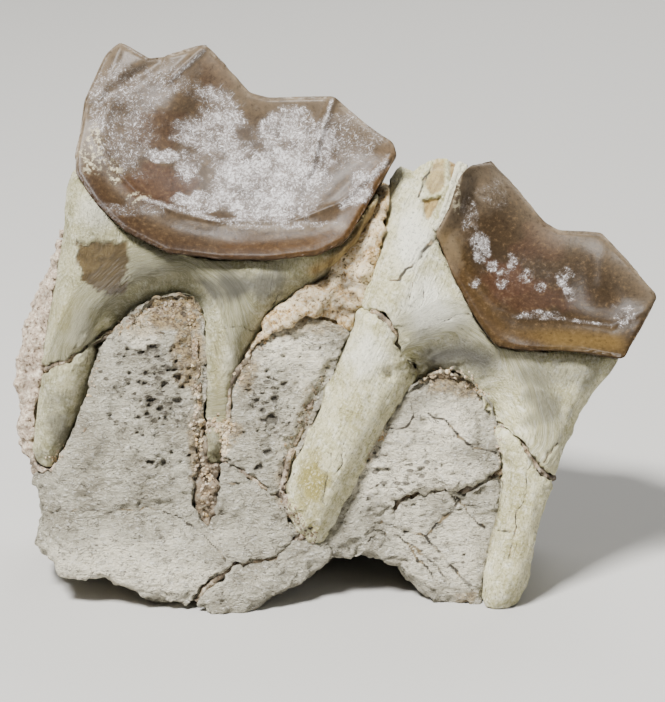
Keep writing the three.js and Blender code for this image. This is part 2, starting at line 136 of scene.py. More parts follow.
def lumps(points, size, seed):
    """Smooth noise from -1 to 1, with lumps of this size in mm, or of three sizes along the axes."""
    place = points / np.asarray(size, float) + SEED_SHIFT * (seed + 1)
    cell = np.floor(place).astype(np.int64)
    share = place - cell
    share = share * share * (3 - 2 * share)
    total = np.zeros(len(points))
    for corner in product((0, 1), repeat=3):
        x, y, z = ((cell + corner) * AXIS_PRIMES).T
        mixed = x ^ y ^ z ^ (seed * SEED_PRIME)
        mixed = ((mixed ^ (mixed >> 13)) * MIXING_PRIME) & 0xFFFFFFFF
        value = ((mixed ^ (mixed >> 16)) & 0xFFFF) / 0xFFFF
        weight = np.prod(np.where(corner, share, 1 - share), axis=1)
        total += weight * value
    return 2 * total - 1


def relief(points, layers):
    """Lumps laid over each other. Each layer is a height and a size in mm, and a seed."""
    return sum(height * lumps(points, size, seed) for height, size, seed in layers)


def furrows(points, size, seed):
    """1 along thin lines that wind between the lumps, 0 elsewhere."""
    return steps(FURROW_SHARE, 0, np.abs(lumps(points, size, seed)))


def away_from(points, path):
    """The distance of each point from a path of (u, v) points, seen from the cheek side."""
    nearest = np.full(len(points), np.inf)
    for start, end in zip(path, path[1:]):
        start, along = np.array(start), np.subtract(end, start)
        offset = points[:, :2] - start
        share = np.clip(offset @ along / (along @ along), 0, 1)
        nearest = np.minimum(nearest, np.hypot(*(offset - share[:, None] * along).T))
    return nearest


def line(points, path, width):
    """1 on a path, fading over the width."""
    return np.exp(-((away_from(points, path) / width) ** 2))


def lines(points, strokes):
    """One row for each stroke: a path, its width and its strength."""
    return [strength * line(points, path, width) for path, width, strength in strokes]


def patch(points, spot, ragged=0.35, fade=0.5, seed=0):
    """1 inside an oval at (u, v) with half-sizes, fading at a ragged edge."""
    u, v, half_u, half_v = spot
    reach = np.hypot((points[:, 0] - u) / half_u, (points[:, 1] - v) / half_v)
    bays = [(1, 0.45 * min(half_u, half_v) + 0.4, seed), (0.4, 0.7, seed + 50)]
    reach += ragged * relief(points, bays)
    return 1 - steps(1.1 - fade, 1.1, reach)


def patches(points, spots, **how):
    """The strongest of several patches, each an oval and a strength."""
    shown = [strength * patch(points, spot, seed=i, **how) for i, (spot, strength) in enumerate(spots)]
    return np.max(shown, axis=0)


def facing(normals):
    """1 where the surface faces the viewer of the cheek side, 0 on the flanks and behind."""
    return steps(*FACING, normals[:, 2])


def cheek_layer(points):
    """1 in the layer near the cheek side, 0 deeper in."""
    return steps(*CHEEK_LAYER_MM, points[:, 2])


# %% [markdown]
# ## The cracks
#
# The solids are already parted along the main cracks. Those keep some width, and everywhere else the
# pieces swell by half the parting, so that they meet. The walls of a crack are shifted together in small
# steps, which makes it jagged. Hairlines are only carved and darkened. They wander, so the points are
# shaken by small lumps before the distance is measured. That distance is stored too: it changes evenly from
# point to point, so a material can draw a line from it that is much thinner than the mesh.

# %% Cracks
PARTING_CRACKS = [
    [(-38, 27.2), (-34.5, 29.5), (-31.9, 30.4), (-30.1, 32), (-27.7, 33.4), (-25, 34.6)],
    [(4.4, 36.3), (5.9, 35.3), (7.4, 33.4), (7.7, 31.4), (9.2, 29.9), (10.9, 26)],
    [(16.8, 24.5), (20.7, 22.1), (22.4, 20.3), (23.6, 18.2), (25.1, 16.7), (28.2, 15.6)],
    [(-17.8, -0.5), (-15.7, 3.1), (-11.7, 6.2), (-7.3, 6.5), (-5.1, 8.8), (-2.4, 10.2)],
    [(-14.4, 19), (-10.9, 16.9), (-7.6, 14.6), (-4.5, 13.6)],
    [(-0.2, 5.8), (3.5, 9.2), (5.9, 10.3), (8, 13.7), (12.8, 15), (15.5, 14.6), (21.4, 18)],
]
BONE_HAIRLINES = [
    (0.11, [(-34.3, 12.2), (-28.3, 12.2), (-22, 12.7), (-19.3, 11.6), (-15.7, 9.5), (-13.3, 6.5)]),
    (0.07, [(-29.9, 11.8), (-29.6, 9.4), (-29, 7)]),
    (0.1, [(-15.1, 15.7), (-10.9, 15.5)]),
    (0.15, [(11, 23.9), (13.2, 23.2), (14.8, 21.3), (16.5, 20), (19.5, 19.5)]),
    (0.1, [(6.5, 22.1), (7.9, 22.3), (9.3, 23.5), (9.2, 25.2)]),
    (0.12, [(5.8, 11.2), (5.6, 7.7)]),
    (0.18, [(8.6, 9.7), (10.9, 9.5), (13.4, 6.1), (16.4, 3.5)]),
    (0.15, [(7.8, 9), (10.1, 7.3), (11.7, 5.8), (13.5, 4)]),
    (0.13, [(10.9, 9.5), (14.8, 13), (14.1, 14)]),
    (0.12, [(8.8, 7.9), (11.6, 4.4)]),
    (0.12, [(14.8, 13.9), (15.9, 11.8), (18, 10.4)]),
]
ROOT_HAIRLINES = [
    (0.09, [(-0.4, 19.4), (-0.9, 16.7), (-1.3, 15.7), (-1.7, 13.4)]),
    (0.07, [(1.1, 20.9), (0.3, 17.3)]),
    (0.09, [(23.3, 18.2), (22.1, 13.4), (21.2, 10.2), (20.7, 6.5)]),
    (0.08, [(19.1, 10), (21.2, 10.1)]),
    (0.1, [(24.5, 18.2), (25.9, 19.8), (26.5, 20.8)]),
    (0.07, [(9.1, 39.6), (8.5, 37.6)]),
    (0.07, [(10.5, 39.8), (10.3, 37.8)]),
    (0.07, [(12.2, 35.2), (13.4, 35.2), (14.6, 36), (15.9, 35.8)]),
    (0.07, [(-6.8, 38.2), (-8.7, 34.7), (-10.1, 32.3)]),
    (0.06, [(-13.6, 34.4), (-9.7, 34.2)]),
    (0.24, [(14.2, 48.7), (12.4, 45.9), (11, 44), (9.8, 42.8)]),
    (0.12, [(9.8, 42.8), (8.6, 41.2), (7.6, 40), (6.6, 39.9)]),
    (0.16, [(11.9, 54.6), (10.9, 52.4), (10.2, 51), (9.9, 49.9)]),
]
HAIRLINE_MM = 0.09
HAIRLINE_DEPTH_MM = 0.16
SWELL_MM = 0.17
WIDEST_CRACK = PARTING_CRACKS[3]
WIDEST_CLOSING_MM = 0.2
WIDEST_REACH_MM = 1.4
OPEN_REACH_MM = (0.2, 1.2)
JAGGED_REACH_MM = (0.8, 2.2)
HAIRLINE_WALLS_MM = (0.05, 0.28)
WANDER = [(0.35, 1.6), (0.15, 0.5)]
JAGS = [(0.3, 1.1), (0.22, 0.45)]
WALL_STRETCH = 4


def shaken(points, places, shakes, seed, share=1):
    """The points moved along u and v by lumps at the places. Each shake is a distance and a size in mm."""
    moved = points.copy()
    for axis in (0, 1):
        for turn, (reach, size) in enumerate(shakes):
            moved[:, axis] += share * reach * lumps(places, size, seed + 2 * turn + axis)
    return moved


def swelling(points, most=SWELL_MM):
    """How far a piece swells to meet its neighbours, less beside a crack and more beside the widest one."""
    widest = line(points, WIDEST_CRACK, WIDEST_REACH_MM)
    meeting = steps(*OPEN_REACH_MM, from_parting(points)) * (1 - widest)
    return most * meeting + WIDEST_CLOSING_MM * widest


def from_parting(points):
    """The distance from the nearest parting crack."""
    return np.min([away_from(points, path) for path in PARTING_CRACKS], axis=0)


def hairline_gaps(points, normals, hairlines):
    """The distance from the nearest hairline of the cheek side, up to 1 mm, as if all were equally wide."""
    wandering = shaken(points, points, WANDER, 11)
    gaps = np.min([HAIRLINE_MM / width * away_from(wandering, path) for width, path in hairlines], axis=0)
    return np.clip(np.maximum(gaps, 1 - facing(normals)), 0, 1)


def carved_hairlines(gaps):
    """How far the hairlines are cut in."""
    return HAIRLINE_DEPTH_MM * (1 - steps(*HAIRLINE_WALLS_MM, gaps))


def jagged(points):
    """The walls of the parting cracks shifted together, in small steps."""
    near = 1 - steps(*JAGGED_REACH_MM, from_parting(points))
    return shaken(points, points / (1, 1, WALL_STRETCH), JAGS, 21, near)


print("parting cracks:", len(PARTING_CRACKS), "hairlines:", len(BONE_HAIRLINES) + len(ROOT_HAIRLINES))

# %% [markdown]
# ## Working on a piece as an array of points
#
# A CAD node is a coarse closed mesh. A copy of it is merged, moved to the cheek-side axes, and remeshed
# into small even squares. A Smooth modifier then takes the facets off, with little force beside the cracks,
# where edges stay crisp. The result has enough points to be carved: each point can be pushed by a fraction
# of a millimetre, as a sculptor's tool would do.
#
# Points are read into an array, moved all at once, and written back. Values that a material needs later,
# such as how deep a pore is, are stored on the points as named attributes.

# %% Fine copies
CRISP_MM = 1.0
CRISP_FORCE = 0.3
SMOOTH_FACTOR = 0.5
MERGE_MM = 1e-3
IN_PLACE = (0, 0, 0)


def points_of(piece):
    values = np.empty(len(piece.data.vertices) * 3, np.float32)
    piece.data.vertices.foreach_get("co", values)
    return values.reshape(-1, 3).astype(float)


def normals_of(piece):
    values = np.empty(len(piece.data.vertices) * 3, np.float32)
    piece.data.vertex_normals.foreach_get("vector", values)
    return values.reshape(-1, 3).astype(float)


def move_points(piece, points):
    piece.data.vertices.foreach_set("co", points.astype(np.float32).ravel())
    piece.data.update()


def keep_modified(piece):
    """Makes the shape that the modifiers give the piece's own mesh."""
    coarse = piece.data
    evaluated = piece.evaluated_get(bpy.context.evaluated_depsgraph_get())
    piece.data = bpy.data.meshes.new_from_object(evaluated)
    piece.modifiers.clear()
    bpy.data.meshes.remove(coarse)


def new_piece(name, bm):
    """A new object from a finished bmesh."""
    mesh = bpy.data.meshes.new(name)
    bm.to_mesh(mesh)
    bm.free()
    return in_scene(name, mesh)


def remeshed(piece, voxel_mm):
    """The piece as one skin of small even squares, with everything that overlaps joined."""
    remesh = piece.modifiers.new("remesh", "REMESH")
    remesh.mode = "VOXEL"
    remesh.voxel_size = voxel_mm
    keep_modified(piece)
    piece.data.materials.clear()
    piece.data.polygons.foreach_set("use_smooth", np.ones(len(piece.data.polygons), bool))


def smoothed(piece, iterations, held, held_force):
    """Takes the facets off, with less force where the points are held."""
    soft = piece.vertex_groups.new(name="soft")
    soft.add(np.flatnonzero(held).tolist(), held_force, "REPLACE")
    soft.add(np.flatnonzero(~held).tolist(), 1, "REPLACE")
    smooth = piece.modifiers.new("smooth", "SMOOTH")
    smooth.factor = SMOOTH_FACTOR
    smooth.iterations = iterations
    smooth.vertex_group = soft.name
    keep_modified(piece)
    piece.vertex_groups.clear()


def fine_copy(copies, name, voxel_mm, smoothing):
    """A fine, smooth copy of CAD nodes in the cheek-side axes. Each copy is a node and a shift in mm."""
    bm = bmesh.new()
    for node, shift in copies:
        start = len(bm.verts)
        bm.from_mesh(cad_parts[node].data)
        bm.verts.ensure_lookup_table()
        bmesh.ops.transform(bm, matrix=Matrix.Translation(shift) @ TO_CHEEK, verts=bm.verts[start:])
    bmesh.ops.remove_doubles(bm, verts=bm.verts, dist=MERGE_MM)
    piece = new_piece(name, bm)
    remeshed(piece, voxel_mm)
    smoothed(piece, smoothing, from_parting(points_of(piece)) < CRISP_MM, CRISP_FORCE)
    piece.data.name = name
    return piece


def mark(piece, **values):
    """Stores named numbers from 0 to 1 for each point, for a material to read."""
    for name, numbers in values.items():
        attribute = piece.data.attributes.new(name, "FLOAT", "POINT")
        shares = np.clip(np.broadcast_to(numbers, len(piece.data.vertices)), 0, 1)
        attribute.data.foreach_set("value", shares.astype(np.float32))


def mark_lie(piece, across, along, depth):
    """Stores a place in millimetres across and along the grain, for a pattern that follows it."""
    attribute = piece.data.attributes.new("lie", "FLOAT_VECTOR", "POINT")
    places = np.stack((across, along, depth), axis=1)
    attribute.data.foreach_set("vector", places.astype(np.float32).ravel())


# %% [markdown]
# A piece is finished when its points are back in the frame, in metres, and it rides on the one body that a
# still specimen has. It then stands for its CAD node, which is hidden. All carved pieces are bent by the
# same slow bends behind the cheek side, so that joints on the flanks don't run straight. Points that were
# pushed below the board are set on it.

# %% Finishing a piece
BENT_FROM_TO_MM = (-2.5, -9)
BENDS = [(0.8, 7, 31), (0.4, 3, 34)]
dressed = []


def warped(points):
    """The points with everything behind the cheek side bent a little, so that no joint runs straight."""
    deep = steps(*BENT_FROM_TO_MM, points[:, 2])
    moved = points.copy()
    for axis in range(3):
        moved[:, axis] += deep * relief(points, [(reach, size, seed + axis) for reach, size, seed in BENDS])
    return moved


def carry(piece, material):
    """Puts a piece in the frame, in metres, on the specimen's one body."""
    piece.data.transform(TO_FRAME)
    points = points_of(piece)
    points[:, 2] = np.maximum(points[:, 2], 0)
    move_points(piece, points)
    piece.data.materials.append(material)
    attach(piece, "root")
    dressed.append(piece)
    bpy.context.view_layer.update()
    print(piece.name, len(piece.data.polygons), "faces")


def settle(piece, nodes, material):
    """Puts a carved piece back in the frame, in place of its CAD nodes."""
    move_points(piece, warped(points_of(piece)))
    carry(piece, material)
    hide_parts(*nodes)


# %% [markdown]
# ## Materials
#
# Each finish is a node material on a Principled shader. One function turns hex colours, which are sRGB, to
# the linear values that Blender works in. One function adds a node with its settings and links. Patterns
# read the stored place in millimetres and divide it by a size, so they draw lumps of that size.

# %% Colours and nodes
def linear(hex_colour):
    """An sRGB hex colour as linear red, green, blue and alpha."""
    values = [int(hex_colour[i : i + 2], 16) / 255 for i in (1, 3, 5)]
    return (*(c / 12.92 if c <= 0.04045 else ((c + 0.055) / 1.055) ** 2.4 for c in values), 1)


def add(nodes, kind, inputs, **settings):
    """Adds a node. An input is a value, or the output of another node that feeds it."""
    node = nodes.new(kind)
    for name, value in settings.items():
        setattr(node, name, value)
    for key, value in inputs.items():
        if isinstance(value, bpy.types.NodeSocket):
            nodes.id_data.links.new(value, node.inputs[key])
        else:
            node.inputs[key].default_value = value
    return node


def blank(name, ior):
    """A new material's node list and its Principled shader."""
    material = bpy.data.materials.new(name)
    material.use_nodes = True
    nodes = material.node_tree.nodes
    shader = next(node for node in nodes if node.type == "BSDF_PRINCIPLED")
    shader.inputs["IOR"].default_value = ior
    return material, nodes, shader


MIX_A, MIX_B, MIX_OUT = 6, 7, 2
FILLED_MM = 1.3
OPEN_MM = 2.2


def tint(nodes, below, colour, amount):
    """Lays a colour over another by an amount from 0 to 1."""
    over = linear(colour) if isinstance(colour, str) else colour
    mix = add(nodes, "ShaderNodeMix", {0: amount, MIX_A: below, MIX_B: over}, data_type="RGBA")
    return mix.outputs[MIX_OUT]


def grain(nodes, size_mm, detail=3, rough=0.55, curl=0, turn_deg=0):
    """Noise from the stored place, with lumps of one size or of three sizes: across, along and deep."""
    sizes = size_mm if isinstance(size_mm, tuple) else (size_mm,) * 3
    lie = add(nodes, "ShaderNodeAttribute", {}, attribute_name="lie").outputs["Vector"]
    inputs = {"Vector": lie, "Scale": sizes, "Rotation": (0, 0, math.radians(turn_deg))}
    scaled = add(nodes, "ShaderNodeMapping", inputs, vector_type="TEXTURE")
    inputs = {"Vector": scaled.outputs[0], "Scale": 1, "Detail": detail, "Roughness": rough}
    return add(nodes, "ShaderNodeTexNoise", inputs | {"Distortion": curl}).outputs[0]


def stored(nodes, name):
    """A value that was stored on the points."""
    return add(nodes, "ShaderNodeAttribute", {}, attribute_name=name).outputs["Fac"]


def between(nodes, value, low, high, to_low=0, to_high=1):
    """A value mapped smoothly from one range to another."""
    inputs = {"Value": value, "From Min": low, "From Max": high, "To Min": to_low, "To Max": to_high}
    return add(nodes, "ShaderNodeMapRange", inputs, interpolation_type="SMOOTHSTEP").outputs[0]


def layer(nodes, below, colour, pattern, low, high, most=1):
    """Lays a colour over another where a pattern goes from low to high, up to the most that is given."""
    return tint(nodes, below, colour, between(nodes, pattern, low, high, 0, most))


def combined(nodes, operation, first, *others):
    """Values put together one after the other, by an operation such as ADD or MULTIPLY."""
    for other in others:
        first = add(nodes, "ShaderNodeMath", {0: first, 1: other}, operation=operation).outputs[0]
    return first


def times(nodes, *values):
    """The product of values."""
    return combined(nodes, "MULTIPLY", *values)


def with_hairlines(nodes, colour):
    """A colour with hairlines drawn from their stored distance, dark where open and tan where filled."""
    fill = layer(nodes, linear("#30281c"), "#8d7a58", grain(nodes, FILLED_MM, 3), 0.52, 0.62)
    open_parts = between(nodes, grain(nodes, OPEN_MM, 2), 0.35, 0.55, 0.3, 0.95)
    thin = between(nodes, stored(nodes, "crack"), 1.5 * HAIRLINE_MM, 0.6 * HAIRLINE_MM)
    return tint(nodes, colour, fill, times(nodes, thin, open_parts))


def feed(shader, name, value):
    """Links a value to one of the shader's inputs."""
    shader.id_data.links.new(value, shader.inputs[name])


def bumped(nodes, shader, height, depth_mm):
    """Fine relief that is too small for the mesh, as deep as given."""
    inputs = {"Height": height, "Distance": depth_mm / 1000, "Strength": 1}
    feed(shader, "Normal", add(nodes, "ShaderNodeBump", inputs).outputs[0])


# %% [markdown]
# ### Fossil enamel
#
# Enamel is nearly pure apatite, glossy and a little see-through. Iron has stained it brown, amber where it
# is thin above the neck, and it pales to grey towards the crest. Weathering left a bloom in the hollow of
# each wall: a grey haze, fine white dust on it, and short white strokes that cross each other. They break
# up the shine. A crust of lime sticks to a few places. On the chewing surface the enamel is worn through
# to the duller dentine.

# %% Fossil enamel
APATITE_IOR = 1.63
CLOUDS_MM = 4
MOTTLE_MM = 0.55
DUST_MM = 0.32
STROKE_MM = (0.14, 0.6, 0.3)
STROKE_TURNS = (12, 68, -38, 112)
LIME_MM = 0.6
DENTINE_MM = 1.2
ENAMEL_RELIEF_MM = 0.035


def make_enamel(name, brown, deep, amber, shine, gaps_mm, thinnest):
    material, nodes, shader = blank(name, APATITE_IOR)
    colour = layer(nodes, linear(brown), deep, grain(nodes, CLOUDS_MM, 5), 0.35, 0.65)
    # The foot tint is the enamel's dark brown along the lower left edge, deepened as painted shade where
    # the wall rounds under towards the neck.
    stains_and_foot_shade = {"ruddy": "#432c1f", "amber": amber, "base": "#2a1b10", "rim": "#7d6f5c"}
    for tinted_mark, tinge in stains_and_foot_shade.items():
        colour = tint(nodes, colour, tinge, stored(nodes, tinted_mark))
    mottle = grain(nodes, MOTTLE_MM, 6, 0.75)
    colour = layer(nodes, colour, "#1c130b", mottle, 0.5, 0.3, 0.6)
    colour = layer(nodes, colour, "#7d6547", mottle, 0.5, 0.75, 0.4)
    uneven = between(nodes, grain(nodes, gaps_mm, 6, 0.7), 0.34, 0.64, thinnest, 1)
    cover = times(nodes, stored(nodes, "bloom"), uneven)
    colour = layer(nodes, colour, "#7f7772", cover, 0, 0.9, 0.75)
    dust = combined(nodes, "ADD", grain(nodes, DUST_MM, 6, 0.8), times(nodes, cover, 0.17))
    white = times(nodes, between(nodes, dust, 0.56, 0.8), between(nodes, cover, 0.02, 0.6))
    for turn in STROKE_TURNS:
        stroke = between(nodes, grain(nodes, STROKE_MM, 2, 0.5, 0.6, turn), 0.62, 0.72)
        white = combined(nodes, "MAXIMUM", white, times(nodes, stroke, between(nodes, cover, 0.02, 0.5)))
    colour = tint(nodes, colour, "#dddbdb", times(nodes, white, 0.85))
    crusted = between(nodes, grain(nodes, LIME_MM, 5, 0.7), 0.48, 0.58, 0, 0.85)
    lime = times(nodes, stored(nodes, "lime"), crusted)
    colour = tint(nodes, colour, "#b8ae92", lime)
    worn = stored(nodes, "worn")
    dentine = layer(nodes, linear("#8b7650"), "#b5a47c", grain(nodes, DENTINE_MM, 5, 0.7), 0.4, 0.62)
    feed(shader, "Base Color", tint(nodes, colour, dentine, worn))
    dull = combined(nodes, "MAXIMUM", white, lime, cover, worn)
    feed(shader, "Roughness", between(nodes, dull, 0, 1, 0.38, 0.65))
    shader.inputs["Specular IOR Level"].default_value = shine
    bumped(nodes, shader, combined(nodes, "ADD", mottle, times(nodes, white, 0.5)), ENAMEL_RELIEF_MM)
    return material


front_enamel = make_enamel("front_fossil_enamel", "#3b3024", "#473a2b", "#432d12", 0.13, 2, 0.36)
rear_enamel = make_enamel("rear_fossil_enamel", "#34281a", "#2d2317", "#5d4927", 0.08, 1.1, 0.1)
print("enamel:", front_enamel.name, rear_enamel.name)

# %% [markdown]
# ### Root cement
#
# A root is dentine under a thin coat of cement. Dry and fossil, it is chalky cream with green and yellow
# tinges. It has fine streaks and splits along its length, and its skin is pocked where small flakes came
# off. Where the cement is gone, the dentine below is olive brown and smooth, or amber in thin plates.

# %% Root cement
CEMENT_IOR = 1.55
TINGES_MM = 3
PALE_SPOTS_MM = 1
STREAKS_MM = (0.28, 3.2, 0.6)
FLAKES_MM = (0.28, 0.36, 0.3)
SPLITS_MM = (0.2, 5, 0.6)
OLIVE_CLOUDS_MM = 1.4
PLATES_MM = (0.7, 2, 1)
CEMENT_RELIEF_MM = 0.5


def make_cement(name, cream, green, pale, chalk):
    material, nodes, shader = blank(name, CEMENT_IOR)
    colour = layer(nodes, linear(cream), green, grain(nodes, TINGES_MM, 6, 0.65), 0.38, 0.64)
    colour = layer(nodes, colour, pale, grain(nodes, PALE_SPOTS_MM, 5, 0.65), 0.46, 0.7, 0.75)
    colour = tint(nodes, colour, "#a0934a", stored(nodes, "yellow"))
    colour = tint(nodes, colour, chalk, stored(nodes, "chalk"))
    streak = grain(nodes, STREAKS_MM, 5, 0.7)
    colour = layer(nodes, colour, "#6a6440", streak, 0.52, 0.7, 0.4)
    flake = grain(nodes, FLAKES_MM, 5, 0.75)
    colour = layer(nodes, colour, "#645e42", flake, 0.52, 0.66, 0.65)
    colour = layer(nodes, colour, pale, flake, 0.48, 0.36, 0.6)
    colour = layer(nodes, colour, "#4c4630", grain(nodes, SPLITS_MM, 3, 0.6), 0.63, 0.69, 0.5)
    # painted shade: dark grey-green where the necks and roots lie in shade
    colour = tint(nodes, colour, "#4a4740", stored(nodes, "grey"))
    olive, amber = stored(nodes, "olive"), stored(nodes, "amber")
    tan = layer(nodes, linear("#4c3c1c"), "#665430", grain(nodes, OLIVE_CLOUDS_MM, 4), 0.36, 0.66)
    glassy = layer(nodes, linear("#8a6a34"), "#bfa266", grain(nodes, PLATES_MM, 4), 0.4, 0.62)
    colour = tint(nodes, tint(nodes, colour, tan, olive), glassy, amber)
    feed(shader, "Base Color", with_hairlines(nodes, colour))
    smooth = combined(nodes, "MAXIMUM", olive, amber)
    feed(shader, "Roughness", between(nodes, smooth, 0, 1, 0.64, 0.5))
    bumped(nodes, shader, combined(nodes, "SUBTRACT", streak, flake, olive), CEMENT_RELIEF_MM)
    return material


front_cement = make_cement("front_root_cement", "#bcb68e", "#969168", "#dedabf", "#d8d5c0")
rear_cement = make_cement("rear_root_cement", "#e3dcb0", "#c0b986", "#fdf9e2", "#fffce6")
print("cement:", front_cement.name, rear_cement.name)

# %% [markdown]
# ### Fossil bone
#
# The bone is grey, dry and matt. Its grain runs along the jaw as short ripples, broken by fine fissures,
# specks and pits, with pores where blood vessels came out. The darkening where the ripples sink, in the
# specks, in the pits and pitted patches and inside the pores is painted shade of those hollows; some specks
# are the bone's own dark grains. Near the teeth it is cream, and silt has stained it rusty beside the
# roots. The cream patches on plates that lie in shade, and near the lower edge, are painted light.

# %% Fossil bone
BONE_IOR = 1.5
BONE_CLOUDS_MM = 3.5
RIPPLES_MM = (0.6, 0.45, 0.5)
BONE_CRUMBS_MM = (0.6, 0.4, 0.5)
FISSURES_MM = (1.6, 0.6, 0.9)
FISSURE_BREAKS_MM = 1.2
SPECKS_MM = (0.4, 0.26, 0.3)
PIT_SPACING_MM = 1.1
PIT_SQUEEZE = (0.7, 1.3, 0.9)
RUST_MM = 0.8
CLAY_MM = 0.5
BONE_RELIEF_MM = 0.8


def make_bone():
    material, nodes, shader = blank("fossil_bone", BONE_IOR)
    colour = layer(nodes, linear("#c6c0ab"), "#a39c88", grain(nodes, BONE_CLOUDS_MM, 5), 0.36, 0.66)
    # cream near the teeth, and mostly painted light: plates in shade and the lower edge are brightened
    colour = tint(nodes, colour, "#fff6dc", stored(nodes, "cream"))
    ripple = grain(nodes, RIPPLES_MM, 6, 0.7)
    # painted shade where the ripples sink, under the edges of the little terraces
    colour = layer(nodes, colour, "#6a6254", ripple, 0.52, 0.68, 0.5)
    crumbs = grain(nodes, BONE_CRUMBS_MM, 5, 0.7)
    colour = layer(nodes, colour, "#f1ede0", crumbs, 0.52, 0.68, 0.75)
    fold = combined(nodes, "SUBTRACT", grain(nodes, FISSURES_MM, 3, 0.6, 0.5), 0.5)
    fold = combined(nodes, "ABSOLUTE", fold, 0)
    broken = between(nodes, grain(nodes, FISSURE_BREAKS_MM, 3), 0.5, 0.58)
    fissures = times(nodes, between(nodes, fold, 0.022, 0.006), broken)
    colour = tint(nodes, colour, "#544c3d", times(nodes, fissures, 0.75))
    speck = grain(nodes, SPECKS_MM, 3, 0.6)
    # painted shade in the tiny pits of the specks, partly the bone's own dark grains
    colour = layer(nodes, colour, "#4a4234", speck, 0.6, 0.7, 0.6)
    lie = add(nodes, "ShaderNodeAttribute", {}, attribute_name="lie").outputs["Vector"]
    bent = add(nodes, "ShaderNodeVectorMath", {0: lie, 1: PIT_SQUEEZE}, operation="MULTIPLY").outputs[0]
    spread = {"Vector": bent, "Scale": 1 / PIT_SPACING_MM, "Randomness": 1}
    cells = add(nodes, "ShaderNodeTexVoronoi", spread)
    fewer = between(nodes, stored(nodes, "porous"), 0, 1, 0.22, 0)
    pit = combined(nodes, "ADD", cells.outputs["Distance"], times(nodes, crumbs, 0.5), fewer)
    pits = between(nodes, pit, 0.6, 0.5, 0, 0.85)
    # painted shade inside the pits
    colour = tint(nodes, colour, "#4a4134", times(nodes, pits, 0.85))
    # painted shade on the pitted patches, which are carved lower
    colour = tint(nodes, colour, "#5c5446", times(nodes, stored(nodes, "pitted"), 0.3))
    clay = layer(nodes, linear("#ab9161"), "#5f4728", grain(nodes, CLAY_MM, 4, 0.7), 0.44, 0.58)
    rust = between(nodes, grain(nodes, RUST_MM, 5, 0.7), 0.3, 0.5)
    colour = tint(nodes, colour, clay, times(nodes, stored(nodes, "rust"), rust, 0.85))
    # painted shade inside the pores
    colour = layer(nodes, colour, "#362e24", stored(nodes, "pore"), 0.48, 0.6, 0.65)
    feed(shader, "Base Color", with_hairlines(nodes, colour))
    shader.inputs["Roughness"].default_value = 0.88
    cut_in = combined(nodes, "ADD", times(nodes, pits, 0.6), times(nodes, fissures, 0.3))
    bumped(nodes, shader, combined(nodes, "SUBTRACT", crumbs, ripple, speck, cut_in), BONE_RELIEF_MM)
    return material


fossil_bone = make_bone()
print("bone:", fossil_bone.name)

# %% [markdown]
# ### Silt
#
# The matrix is the hardened silt that the jaw lay in: pinkish to rusty grains of about half a millimetre,
# quite matt, with dark specks between them.

# %% Silt
SILT_IOR = 1.5
SILT_CLOUDS_MM = 1.6
SILT_GRAIN_MM = 0.45
SILT_RELIEF_MM = 0.6


def make_silt():
    material, nodes, shader = blank("hardened_silt", SILT_IOR)
    speck = grain(nodes, SILT_GRAIN_MM, 5, 0.7)
    colour = layer(nodes, linear("#e8d4ad"), "#c2a06b", grain(nodes, SILT_CLOUDS_MM, 5, 0.65), 0.4, 0.62)
    colour = tint(nodes, colour, "#bca893", stored(nodes, "pink"))
    colour = layer(nodes, colour, "#e8dcc6", speck, 0.5, 0.62, 0.95)
    colour = layer(nodes, colour, "#43331e", speck, 0.46, 0.36, 0.95)
    # The crack tone is dark silt in cracks, and painted shade: in hollows between lumps, in recesses and on
    # crumbs in crevices.
    feed(shader, "Base Color", tint(nodes, colour, "#3a2f20", stored(nodes, "crack")))
    shader.inputs["Roughness"].default_value = 0.95
    bumped(nodes, shader, speck, SILT_RELIEF_MM)
    return material


hardened_silt = make_silt()
print("silt:", hardened_silt.name)

# %% [markdown]
# ## Weathering
#
# The sides and the back of the fragment are broken and worn. There the surface gets lumps of several
# sizes. The cheek side keeps its drawn relief, with only a light unevenness.
#
# Larger forms of the cheek side are given as paths with a height and a width: a root's swelling along its
# axis, the hollow between two roots, the rim of bone beside a socket. They push the points along w.

# %% Weathering
ROUGH_LAYERS = [(0.5, 6.5, 1), (0.25, 1.1, 3)]
LIGHT_LAYERS = [(0.6, 3.2, 4), (0.4, 1.2, 5)]
CHIP_MM = 3.4
CROWN_WEATHER = (0.06, 0.25)
ROOT_WEATHER = (0.1, 0.7)
BONE_WEATHER = (0.35, 1)


def weathering(points, normals, front, behind):
    """How far each point is pushed out: a light unevenness in front, lumps on the sides and behind."""
    hidden = 1 - facing(normals) * steps(-9, -4, points[:, 2])
    chips = 0.5 - np.abs(lumps(points, CHIP_MM, 2))
    rough = relief(points, ROUGH_LAYERS) + 0.5 * chips
    return hidden * behind * rough + (1 - hidden) * front * relief(points, LIGHT_LAYERS)


def modelled(points, normals, forms):
    """The points with the larger forms of the cheek side added."""
    front = steps(-0.1, 0.35, normals[:, 2]) * steps(-8, -4, points[:, 2])
    moved = points.copy()
    moved[:, 2] += front * sum(height * line(points, path, width) for path, height, width in forms)
    return moved
